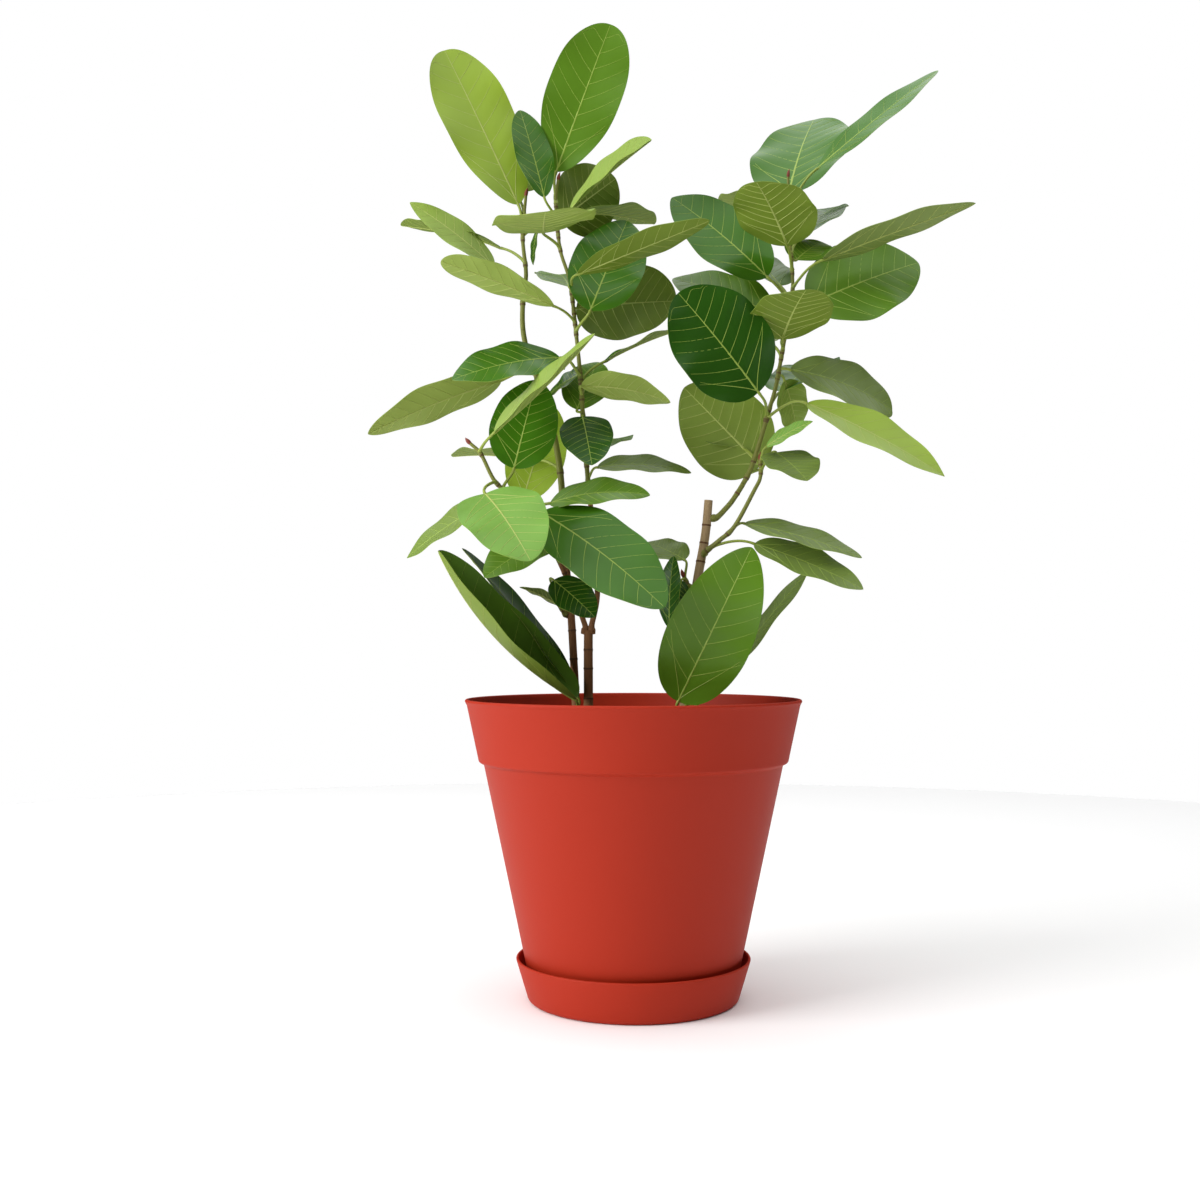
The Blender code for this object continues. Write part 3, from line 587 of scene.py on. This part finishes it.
LEAVES = {
    "left_foot": [
        leaf(252, (-51, -24, 265), (-117, -32, 129), 48, "mid", (7, -4, 6), bow=-0.09, fold=0.95,
             point=1.1),
        leaf(249, (-49, -8, 266), (-105, 6, 134), 36, "dark", (5, -2, 3), bow=0.02, fold=0.3, point=1.1),
    ],
    "left_node": [
        leaf(343, (-64, -6, 347), (-36, -18, 17), 24, "grey_painted_sheen", (0, 1, 8), bow=0.05),
        leaf(347, (-70, -26, 370), (37, -16, -33), 38, "dark", (0, -1, 1)),
    ],
    "left_low": [
        leaf(424, (-80, -45, 428), (106, -50, -84), 74, "deep", (0, -1, 0.9), bow=0.05, full=0.47,
             point=1.15),
        leaf(428, (-73, -26, 438), (88, -16, 5), 46, "mid", (0, -0.7, 1), bow=0.07),
        leaf(456, (-127, -60, 443), (44, -62, -62), 72, "fresh", (0, -1, 1), bow=0.06, full=0.4,
             point=0.95),
        leaf(444, (-122, -36, 441), (-81, 30, -50), 44, "grey_painted_sheen", (0, -0.7, 1)),
        leaf(402, (-72, -24, 410), (-54, -46, -40), 46, "mid", (0, -0.8, 1)),
        leaf(450, (-105, -26, 469), (19, 14, 81), 60, "deep", (0, -1, 0.1), bow=0.02, point=1.1),
        leaf(482, (-119, -58, 496), (87, -14, 82), 48, "light", (-2, -1, 2), bow=-0.02, fold=0.3),
    ],
    "left_middle": [
        leaf(556, (-65, -12, 570), (-92, -38, -27), 56, "deep", (0, -1, 1), bow=0.05),
        leaf(562, (-49, 14, 560), (-30, 26, -14), 34, "dark", (0, -1, 1)),
        leaf(512, (-45, -12, 517), (10, -48, -50), 47, "dark", (0, -1, 1), point=1.2),
        leaf(538, (-46, -8, 545), (79, -24, -19), 38, "light", (0.2, 0.6, 1), bow=0.07),
        leaf(522, (-51, 15, 528), (18, 45, 53), 44, "mid", (0, -1, 0.8)),
        leaf(462, (-32, 0, 473), (85, 10, -4), 38, "grey_painted_sheen", (0, -0.6, 1), bow=0.06),
    ],
    "left_crown": [
        leaf(597, (-38, -10, 613), (33, 48, 96), 68, "deep", (0, -1, 0.2), bow=0.02, point=1.15),
        leaf(634, (-49, -24, 642), (115, -40, 35), 40, "mid", (0, 0.25, 1), bow=0, full=0.5),
        leaf(616, (-52, 22, 623), (94, 58, 21), 74, "mid", (0, 1, 0.6), full=0.52, point=1.1),
        leaf(606, (-70, -14, 616), (-98, -30, 33), 40, "light", (0, 0.4, 1), bow=0.02, full=0.6),
        leaf(715, (-70, 12, 747), (50, -12, 131), 70, "mid", (0, -1, 0.1), bow=0.01, full=0.55, point=1.1),
        leaf(700, (-80, -4, 718), (-23, 10, 84), 36, "deep", (0.4, -1, 0.2), bow=0.02, full=0.5),
        leaf(692, (-57, -5, 706), (74, -25, 54), 44, "light", (-0.3, -0.7, 1), bow=0.02, fold=0.35,
             full=0.62),
        leaf(686, (-66, 24, 706), (50, 34, 50), 66, "mid", (0, 1, 0.5), full=0.5, point=1.05),
        leaf(674, (-80, -18, 681), (8, -92, -10), 90, "light", (-0.12, 0, 1), bow=0.02, fold=0.05,
             full=0.5, point=1.0),
    ],
    "left_outer": [
        leaf(566, (-121, 20, 556), (-119, -20, -52), 50, "light", (0, 0.55, 1), fold=0.1),
        leaf(440, (-101, 22, 446), (26, 30, 92), 54, "bright", (0, -1, 0.2), bow=0.02),
    ],
    "left_tip": [
        leaf(626, (-126, -5, 655), (-76, 0, 59), 30, "light", (0, -0.6, 1), twist=50, full=0.38),
        leaf(690, (-104, 0, 713), (-69, 10, 147), 68, "bright", (0.2, -1, 0.3), bow=0.01, full=0.56,
             point=1.05),
        leaf(705, (-103, 12, 729), (22, 34, 60), 48, "light", (0, -1, 0.3), bow=0.02),
        leaf(684, (-88, 18, 694), (-4, 6, -30), 14, "dark", (-1, -0.5, 0)),
    ],
    "right_foot": [
        leaf(252, (39, -40, 264), (62, -24, 132), 74, "mid", (0, -1, 0), bow=0.02, full=0.42, point=1.1),
        leaf(250, (64, -10, 267), (93, 10, 113), 46, "grey_painted_sheen", (-3, -1, 2), bow=0.0, fold=0.05, full=0.5),
        leaf(252, (32, -26, 328), (4, 0, 63), 26, "dark", (-1, -1, 0), fold=0.1, full=0.5),
    ],
    "right_inner": [
        leaf(372, (46, -5, 389), (-34, 30, 18), 38, "grey_painted_sheen", (0, -0.6, 1)),
        leaf(372, (43, -9, 370), (-2, -3, -34), 24, "dark", (-1, -1, 0), fold=0.05),
    ],
    "right_low": [
        leaf(414, (99, -12, 421), (101, -18, -32), 42, "grey_painted_sheen", (0, -0.5, 1)),
        leaf(400, (107, -22, 402), (92, -20, -41), 46, "grey_painted_sheen", (0, -0.7, 1)),
        leaf(476, (118, -22, 488), (39, -14, 20), 24, "fresh", (0, -0.7, 1)),
        leaf(468, (127, -14, 484), (23, -38, -30), 54, "grey_painted_sheen", (0.3, -1, 1)),
    ],
    "right_middle": [
        leaf(520, (110, -34, 534), (-71, -24, 82), 88, "dark", (0, -1, 0.25), full=0.47, point=1.0),
        leaf(466, (116, 14, 476), (-68, 34, 78), 80, "mid", (0, 1, 0.3), point=1.05),
        leaf(562, (142, 2, 561), (97, 30, -32), 60, "grey_painted_sheen", (0, -1, 0.8), bow=0.07, full=0.55, point=1.0),
        leaf(518, (154, -18, 527), (113, -36, -70), 50, "bright", (0, -0.8, 1), fold=0.2, point=1.5),
        leaf(556, (139, 22, 555), (14, 26, -44), 42, "light", (0, -1, 1)),
        leaf(580, (133, -14, 585), (12, -76, 25), 72, "mid", bow=0.05, fold=0.05, point=1.1),
    ],
    "right_crown": [
        leaf(604, (125, 15, 616), (-87, 44, 44), 62, "mid", (0, -1, 1)),
        leaf(618, (160, 8, 622), (103, 20, 43), 84, "mid", (0, -1, 0.4), point=1.15),
        leaf(620, (121, -4, 644), (-85, 25, 81), 66, "deep", (0, -1, 0.5), bow=0.04),
        leaf(636, (169, -14, 656), (134, -10, 47), 42, "grey_painted_sheen", (0, 0.25, 1), bow=0.01),
        leaf(652, (138, -14, 669), (-34, -74, 33), 72, "mid", bow=0.04, point=1.05),
        leaf(664, (150, 20, 666), (28, 32, 26), 44, "mid", (0, -1, 1)),
        # This leaf takes the darker deep tone as painted shade: it is mid-green, and the darker colour
        # paints the shade it lies in.
        leaf(700, (143, 15, 726), (33, 72, 96), 94, "deep", bow=0.04, fold=0.05, full=0.48, point=1.0),
        leaf(705, (165, -9, 740), (111, 8, 92), 36, "deep", (-0.3, -1, 0.8), bow=0.01, fold=0.1,
             twist=20, full=0.56, point=1.4),
    ],
}

# Each tone: the finish of the upper face, of the underside, and of the veins on each
TONES = {
    "dark": ("leaf_dark", "under_grey", "vein_light", "vein_pale"),
    "deep": ("leaf_deep", "under_olive", "vein_light", "vein_pale"),
    "mid": ("leaf_mid", "under_olive", "vein_light", "vein_pale"),
    "fresh": ("leaf_fresh", "under_pale", "vein_pale", "vein_pale"),
    # The grey tone's upper finish holds a painted reflection of the white surroundings over the leaf's own
    # green.
    "grey_painted_sheen": ("leaf_grey_painted_sheen", "under_grey", "vein_light", "vein_pale"),
    "light": ("leaf_light", "under_pale", "vein_pale", "vein_pale"),
    "bright": ("leaf_bright", "under_pale", "vein_pale", "vein_pale"),
}

# %% Leaves at the back
BACK_LEAF = {"long": 108.0, "wide": 60.0, "stalk": 26.0, "lift": 8.0, "swing": 32.0,
             "rise": (5, 35), "size": (0.85, 1.1)}
BACK_TONES = ("mid", "deep", "light")
GOLDEN_TURN = 137.5
SEED = 7


def back_leaves(shoot, low, high, count, bearing, dice):
    """Bearing + swing * sin(golden angle * number); tilt and size by seeded draws, heights evenly spaced.
    """
    path, _ = shoot_path(shoot)
    top = min(high, path[-1, 2])
    found = []
    for index in range(count):
        height = low + (top - low) * (index + 0.5) / count
        root, _ = point_at(shoot, height)
        swing = BACK_LEAF["swing"] * math.sin(math.radians(GOLDEN_TURN * (index + 1)))
        turn = math.radians(bearing + swing)
        rise = math.radians(dice.uniform(*BACK_LEAF["rise"]))
        way = np.array([math.cos(turn) * math.cos(rise), math.sin(turn) * math.cos(rise), math.sin(rise)])
        size = dice.uniform(*BACK_LEAF["size"])
        start = root + way * BACK_LEAF["stalk"] + (0, 0, BACK_LEAF["lift"])
        found.append(leaf(height, start, way * BACK_LEAF["long"] * size, BACK_LEAF["wide"] * size,
                          BACK_TONES[index % len(BACK_TONES)]))
    return found


# %% [markdown]
# ## The blade
# A banyan's blade is a broad oval with a rounded base and a blunt tip. Its half width at a
# share s of its length is a power curve of s and 1 - s that peaks at `full`. Across, a second
# parameter v runs from one margin, -1, over the midrib, 0, to the other, 1. The blade rises
# from the midrib to its margins, puffs up a little between the side veins, and its margin
# waves. The upper and lower faces are one closed grid: v runs over the top and back below.

# %% The blade's surface
VEIN_GAP = 0.105
VEIN_FIRST = 0.05
VEIN_STAGGER = 0.014
PUFF = 0.5
PUFF_ON_WIDTH = 60
WAVE = 0.028
WAVES_ALONG = 15


def outline(s, full, point):
    """(s / full)^(point full) * ((1 - s) / (1 - full))^(point - point full)."""
    base = point * full
    return (s / full) ** base * ((1 - s) / (1 - full)) ** (point - base)


def vein_rise(one, s, v):
    """slant * half width * (0.75 |v| + 0.25 v^2): a vein bends forwards on its way outwards."""
    slant = np.clip(0.42 * one["wide"] / np.linalg.norm(one["blade"]), 0.10, 0.25)
    half = outline(np.clip(s, 0.001, 0.999), one["full"], one["point"])
    return slant * half * (0.75 * np.abs(v) + 0.25 * v ** 2)


def vein_number(one, s, v):
    """Whole on a side vein; the veins of the two sides leave the midrib a little apart."""
    return (s - vein_rise(one, s, v) - VEIN_FIRST - VEIN_STAGGER * np.sign(v)) / VEIN_GAP


def blade_point(one, s, v):
    """Midrib line + bow, then across by v * half width, and up by fold, puff and wave."""
    start = np.asarray(one["start"], dtype=float)
    reach = np.asarray(one["blade"], dtype=float)
    length = np.linalg.norm(reach)
    along = reach / length
    face = np.asarray(one["face"], dtype=float)
    face = face - face.dot(along) * along
    face /= np.linalg.norm(face)
    across = np.cross(along, face)
    s = np.clip(s, 0, 1)[..., None]
    v = np.asarray(v)[..., None]
    turn = np.radians(one["twist"]) * s
    side = across * np.cos(turn) + face * np.sin(turn)
    normal = face * np.cos(turn) - across * np.sin(turn)
    half = one["wide"] / 2 * outline(s, one["full"], one["point"])
    wave = one["wide"] * WAVE * np.sin(one["wave"] + WAVES_ALONG * s + 1.7 * np.sign(v)) * v ** 2
    wave = wave * np.sin(np.pi * s) ** 0.5
    puff = PUFF * np.sin(np.pi * vein_number(one, s, v)) ** 2
    puff = puff * np.abs(v) ** 0.5 * (1 - np.abs(v)) * np.sin(np.pi * s)
    puff = puff * 2 * one["wide"] / PUFF_ON_WIDTH
    rise = one["fold"] * half * np.abs(v) ** 1.3 + wave + puff
    midrib = start + reach * s + face * one["bow"] * 4 * s * (1 - s) * length
    return midrib + side * v * half + normal * rise


def blade_normal(one, s, v):
    """Cross product of the surface's two directions, from points a little apart."""
    s = np.clip(s, 0.004, 0.996)
    step = 0.003
    along = blade_point(one, s + step, v) - blade_point(one, s - step, v)
    across = blade_point(one, s, v + step) - blade_point(one, s, v - step)
    normal = np.cross(across, along)
    return normal / np.maximum(np.linalg.norm(normal, axis=-1, keepdims=True), 1e-9)


# %% One blade as a closed grid
BLADE_ROWS = 56
BLADE_COLUMNS = 25
HALF_THICK = 0.4


def half_thickness(s, v):
    """HALF_THICK * (1 - 0.6 v^2) * sin(pi s)^(1/4): thin at the margins, nothing at the ends."""
    return HALF_THICK * (1 - 0.6 * v ** 2) * np.sin(np.pi * np.clip(s, 0, 1)) ** 0.25


def add_blade(skin, one):
    """Top: the surface + half the thickness; below, the same - half; thin at the margins."""
    upper, under, _, _ = TONES[one["tone"]]
    s = 0.5 - 0.5 * np.cos(np.pi * np.linspace(0, 1, BLADE_ROWS))
    v = np.sin(np.pi / 2 * np.linspace(-1, 1, BLADE_COLUMNS))
    v = np.sign(v) * np.abs(v) ** 0.9
    grid_s, grid_v = np.meshgrid(s, v, indexing="ij")
    middle = blade_point(one, grid_s, grid_v)
    normal = blade_normal(one, grid_s, grid_v)
    thick = half_thickness(grid_s, grid_v)
    top = middle + normal * thick[..., None]
    below = middle - normal * thick[..., None]
    grid = np.concatenate([top, below[:, ::-1]], axis=1) * MM
    last = BLADE_COLUMNS - 1
    slots = [upper] * last + ["vein_light"] + [under] * last + ["vein_light"]
    skin.add(grid, slots)


# %% [markdown]
# ## Veins
# The midrib is pale and stands out on the underside. A pair of side veins starts at the base
# and runs far up; the others leave the midrib in pairs and bend forwards before the margin.
# Each vein is a low ridge of its own on the blade, with a plain pale finish, so that its
# colour stays crisp from near.

# %% Veins as ridges on the blade
VEIN_STEPS = 24
SIDE_VEINS = 8
VEIN_REACH = 0.93
BASE_VEIN_REACH = 0.88
LAST_VEIN = 0.93

# How far the midrib stands out of the upper face, 1, and of the underside, -1
MIDRIB_LIFT = {1: 0.3, -1: 0.7}


def add_ridge(skin, one, s, v, width, height, facing, finish_name):
    """A three-sided ridge along (s, v): its edges lie just in the blade, its crest above."""
    point = blade_point(one, s, v)
    normal = blade_normal(one, s, v) * facing
    along = np.gradient(point, axis=0)
    across = np.cross(normal, along)
    across /= np.maximum(np.linalg.norm(across, axis=1, keepdims=True), 1e-9)
    skin_height = half_thickness(s, v)
    base = point + normal * (skin_height - 0.08)[:, None]
    crest = point + normal * (skin_height + height)[:, None]
    edge = across * (width / 2)[:, None]
    grid = np.stack([base - edge, crest - edge * 0.35, crest + edge * 0.35, base + edge], axis=1)
    ends = np.repeat(point[[0, -1]][:, None, :], 4, axis=1)
    skin.add(np.concatenate([ends[:1], grid, ends[1:]]) * MM, finish_name)


def side_vein(one, number, side):
    """s = where it leaves the midrib + its rise, found by putting s back in four times."""
    v = side * VEIN_REACH * np.linspace(0, 1, VEIN_STEPS)
    begin = VEIN_FIRST + VEIN_GAP * number + VEIN_STAGGER * side
    s = begin + 0 * v
    for _ in range(4):
        s = begin + vein_rise(one, s, v)
    return s, v


def base_vein(side):
    """One of the pair from the blade's base: s grows evenly, v as a root, towards the margin."""
    t = np.linspace(0, 1, VEIN_STEPS)
    return 0.015 + 0.36 * t, side * BASE_VEIN_REACH * t ** 0.8


def add_veins(skin, one):
    """Midrib along v = 0, a pair of veins from the base, and side veins up to the tip."""
    _, _, above, beneath = TONES[one["tone"]]
    size = (one["wide"] / 60) ** 0.5
    t = np.linspace(0, 1, VEIN_STEPS)
    lines = [base_vein(side) for side in (-1, 1)]
    lines += [side_vein(one, number, side) for number in range(1, SIDE_VEINS + 1) for side in (-1, 1)]
    lines = [(s, v) for s, v in lines if s[0] <= LAST_VEIN]
    for facing, name in ((1, above), (-1, beneath)):
        lift = MIDRIB_LIFT[facing]
        width = (2.1 - 1.6 * t) * size
        add_ridge(skin, one, 0.005 + 0.985 * t, 0 * t, width, lift * (1 - 0.5 * t), facing, name)
        for s, v in lines:
            width = (0.76 - 0.44 * t) * size * (1.1 - 0.5 * s[0])
            add_ridge(skin, one, s, v, width, 0.15 + 0.18 * lift * (1 - t), facing, name)


# %% [markdown]
# ## Stalks
# A stalk leaves the shoot, bends, and runs on under the blade as the foot of its midrib. It is
# a cubic curve between the shoot and the blade, a little thicker at both ends.

# %% One stalk
STALK_LEAD = 0.35
STALK_LIFT = 0.10


def stalk_path(one, shoot):
    """Bezier curve from the shoot, a little upwards first, to the blade's start and direction."""
    root, _ = point_at(shoot, one["at"])
    start = np.asarray(one["start"], dtype=float)
    along = np.asarray(one["blade"], dtype=float)
    along = along / np.linalg.norm(along)
    span = np.linalg.norm(start - root)
    out = root + (start - root) * STALK_LEAD + np.array([0, 0, STALK_LIFT * span])
    into = start - along * STALK_LEAD * span
    t = np.linspace(0, 1, 22)[:, None]
    curve = (1 - t) ** 3 * root + 3 * t * (1 - t) ** 2 * out + 3 * t ** 2 * (1 - t) * into + t ** 3 * start
    share = np.linspace(0.01, 0.12, 5)
    midrib = blade_point(one, share, 0 * share) - blade_normal(one, share, 0 * share) * 0.5
    path = np.concatenate([curve, midrib])
    t = t[:, 0]
    body = 1.45 - 0.25 * t + 0.7 * np.exp(-(t / 0.08) ** 2) + 0.25 * np.exp(-((t - 1) / 0.07) ** 2)
    return path, np.concatenate([body * min(1.0, 0.55 + one["wide"] / 120), np.linspace(1.1, 0.5, 5)])


# %% [markdown]
# ## Dress the masses
# For each mass: its blades with their veins are one piece, and its green stem with the stalks
# is another. The stem swells a little at each leaf's node, with a scar ring below it, and ends
# in a pointed bud.

# %% Build blades and stems
backs = random.Random(SEED)
BLADE_FINISHES = ("leaf_dark", "leaf_deep", "leaf_mid", "leaf_fresh", "leaf_grey_painted_sheen", "leaf_light",
                  "leaf_bright", "under_olive", "under_grey", "under_pale", "vein_light", "vein_pale")
NODE_SWELL = 0.45
STEM_RING = 0.25
BUD_LENGTH = 8.0


def add_stem(skin, shoot, low, high, nodes):
    """The shoot's tube, with a smooth swelling and a ring just below each leaf's height."""
    path, radius, along = stretch(shoot, low, high, 0.9)
    if grows_on_stem(shoot, low):
        path, radius, along = rooted(path, radius, along)
    places = np.interp([height - 1.5 for height in nodes], path[:, 2], along)
    radius = radius + NODE_SWELL * rings_on(along, places, 2.6)
    ring = rings_on(along, places - 2.0, 0.7)

    def relief(angle, row):
        return STEM_RING * np.minimum(ring, 1)[row[:, 0, 0]][:, None, None] + 0 * angle

    between = 0.5 * (ring[1:] + ring[:-1])
    slots = np.concatenate([[0], (between > 0.4).astype(int), [0]])
    skin.add_rows(tube_grid(path, radius, 18, relief), slots)
    return path[-1], path[-1] - path[-3], radius[-1]


def add_bud(skin, foot, way, radius):
    """A pointed bud: a tube that swells a little and ends in a point, along the shoot's way."""
    t = np.linspace(0, 1, 16)
    way = way / np.linalg.norm(way)
    path = foot + way * (t * BUD_LENGTH)[:, None] + np.array([1.2, 0.6, 0]) * (t ** 2)[:, None]
    swell = radius * (1 + 0.35 * np.sin(np.pi * t)) * (1 - t ** 2.2) + 0.05
    skin.add(tube_grid(path, swell, 14), "bud_red")


def dress_mass(name):
    """Blades and veins as one piece; stem, stalks and buds as another."""
    shoot, low, high, count, bearing = MASSES[name]
    leaves = LEAVES[name] + back_leaves(shoot, low, high, count, bearing, backs)
    blades = Skin("blades_" + name, *BLADE_FINISHES)
    green = Skin("stems_" + name, "shoot_green", "shoot_ring", "stalk_green", "bud_red")
    tip, way, radius = add_stem(green, shoot, low, high, [one["at"] for one in leaves])
    for index, one in enumerate(leaves):
        one["wave"] = 2.4 * index + 0.7 * len(name)
        add_blade(blades, one)
        add_veins(blades, one)
        path, thick = stalk_path(one, shoot)
        green.add(tube_grid(path, thick, 12), "stalk_green")
    if high == TIP:
        add_bud(green, tip - way * 0.5, way, radius)
    blades.build("leaf", "leaves_" + name)
    green.build("leaf", "leaves_" + name)
    return len(leaves)


grown = sum(dress_mass(name) for name in MASSES)
print("leaves:", grown)

# %% [markdown]
# ## Soil
# Potting soil is dark, fine and crumbly. Its top is a disc grid whose height is a sum of sine
# waves of many sizes and directions, a little higher round the stems. On it lie many hundred
# crumbs, each a small twelve-cornered lump, in three browns.


# %% The soil's body
def ripple(x, y, size, count, dice):
    """Sum of count sine waves of about one size in mm, in seeded directions, from -1 to 1."""
    total = np.zeros_like(x)
    for turn, phase, stretch_by in dice.uniform((0, 0, 0.7), (6.28, 6.28, 1.4), size=(count, 3)):
        run = x * math.cos(turn) + y * math.sin(turn)
        total += np.sin(run * 6.28 / (size * stretch_by) + phase)
    return total / count ** 0.5 / 1.4


FINISHES["soil_dark"] = finish("soil_dark", (52, 38, 28), 0.95, 0.1, 0.5, 2.5)
FINISHES["crumb_brown"] = finish("crumb_brown", (84, 60, 42), 0.95)
FINISHES["crumb_tan"] = finish("crumb_tan", (128, 100, 72), 0.9)
soil_dice = np.random.default_rng(5)
soil_gap = POT_WALL + 2 * CLEAR
soil_edge = band_radius(SOIL_TOP) - soil_gap
STEM_FEET = [SHOOTS[shoot][0][0][:2] for shoot in ("left_trunk", "left_outer", "right_trunk")]
AROUND = 240


def soil_height(x, y):
    """SOIL_TOP less a small sinking, + waves of three sizes + a low mound round each stem."""
    height = SOIL_TOP - 1.6 + 0.9 * ripple(x, y, 26, 7, np.random.default_rng(1))
    height += 0.55 * ripple(x, y, 8, 9, np.random.default_rng(2))
    height += 0.35 * ripple(x, y, 3.2, 11, np.random.default_rng(3))
    for foot_x, foot_y in STEM_FEET:
        away = np.hypot(x - foot_x, y - foot_y)
        height += 3.4 * np.exp(-(away / 13.0) ** 2)
    return height


angle = np.linspace(0, 2 * np.pi, AROUND, endpoint=False)
radius = np.linspace(0, 1, 110)[:, None] ** 0.8 * soil_edge
x = radius * np.cos(angle)
y = radius * np.sin(angle)
top = np.stack([x, y, soil_height(x, y)], axis=-1)
floor_height = POT_FOOT + POT_WALL + CLEAR
side = np.array([
    (band_radius(BAND_FOOT + 3) - soil_gap - 0.6, BAND_FOOT + 3),
    (body_radius(STEP - 5) - soil_gap, STEP - 5),
    (body_radius(floor_height + 7) - soil_gap, floor_height + 7),
    (body_radius(floor_height) - soil_gap - 3.0, floor_height),
    (0, floor_height),
])
wall = np.stack([side[:, 0:1] * np.cos(angle), side[:, 0:1] * np.sin(angle),
                 np.repeat(side[:, 1:2], AROUND, axis=1)], axis=-1)
soil_grid = np.concatenate([top, wall]) * MM
soil_skin = Skin("soil_body", "soil_dark")
soil_skin.add(soil_grid, "soil_dark")
soil_skin.build("soil", "soil")

# %% Crumbs
golden = (1 + 5 ** 0.5) / 2
corners = np.array([(-1, golden, 0), (1, golden, 0), (-1, -golden, 0), (1, -golden, 0),
                    (0, -1, golden), (0, 1, golden), (0, -1, -golden), (0, 1, -golden),
                    (golden, 0, -1), (golden, 0, 1), (-golden, 0, -1), (-golden, 0, 1)]) / 1.9
lump_faces = np.array([(0, 11, 5), (0, 5, 1), (0, 1, 7), (0, 7, 10), (0, 10, 11), (1, 5, 9),
                       (5, 11, 4), (11, 10, 2), (10, 7, 6), (7, 1, 8), (3, 9, 4), (3, 4, 2),
                       (3, 2, 6), (3, 6, 8), (3, 8, 9), (4, 9, 5), (2, 4, 11), (6, 2, 10),
                       (8, 6, 7), (9, 8, 1)])
CRUMBS = 1500


def crumb_field():
    """Each crumb = corners * size * stretch, turned about Z and set on the soil's height."""
    reach = soil_edge * soil_dice.uniform(0.0, 0.965, CRUMBS) ** 0.5
    turn = soil_dice.uniform(0, 6.28, CRUMBS)
    size = 0.6 + 1.5 * soil_dice.uniform(0, 1, CRUMBS) ** 4
    shape = corners[None] * soil_dice.uniform(0.6, 1.3, (CRUMBS, 1, 3))
    shape = shape * soil_dice.uniform(0.8, 1.2, (CRUMBS, 12, 1))
    spin = soil_dice.uniform(0, 6.28, CRUMBS)
    cos, sin = np.cos(spin)[:, None], np.sin(spin)[:, None]
    turned_x = shape[..., 0] * cos - shape[..., 1] * sin
    turned_y = shape[..., 0] * sin + shape[..., 1] * cos
    x, y = reach * np.cos(turn), reach * np.sin(turn)
    lumps = np.stack([turned_x, turned_y, shape[..., 2] * 0.7], axis=-1) * size[:, None, None]
    return lumps + np.stack([x, y, soil_height(x, y) + 0.15 * size], axis=-1)[:, None, :]


lumps = crumb_field()
faces = (lump_faces[None] + 12 * np.arange(CRUMBS)[:, None, None]).reshape(-1, 3)
browns = np.repeat(soil_dice.choice(3, CRUMBS, p=(0.5, 0.36, 0.14)), 20)
crumbs = mesh_piece("soil_crumbs", lumps.reshape(-1, 3) * MM, faces, browns,
                    [FINISHES["soil_dark"], FINISHES["crumb_brown"], FINISHES["crumb_tan"]])
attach(crumbs, "root")
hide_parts("soil")
print("crumbs:", CRUMBS)

# %% [markdown]
# ## Floor
# A plain round sheet of white paper lies under the saucer. It isn't part of the object.

# %% Floor
FLOOR_RADIUS = 1.9
FLOOR_CORNERS = 96
floor_mesh = bpy.data.meshes.new("paper_floor")
turn = np.linspace(0, 2 * np.pi, FLOOR_CORNERS, endpoint=False)
edge = np.stack([FLOOR_RADIUS * np.cos(turn), FLOOR_RADIUS * np.sin(turn), 0 * turn], axis=1)
floor_mesh.from_pydata(edge.tolist(), [], [tuple(range(FLOOR_CORNERS))])
floor_mesh.materials.append(finish("paper_white", (252, 252, 252), 0.9))
floor = bpy.data.objects.new("paper_floor", floor_mesh)
scene.collection.objects.link(floor)
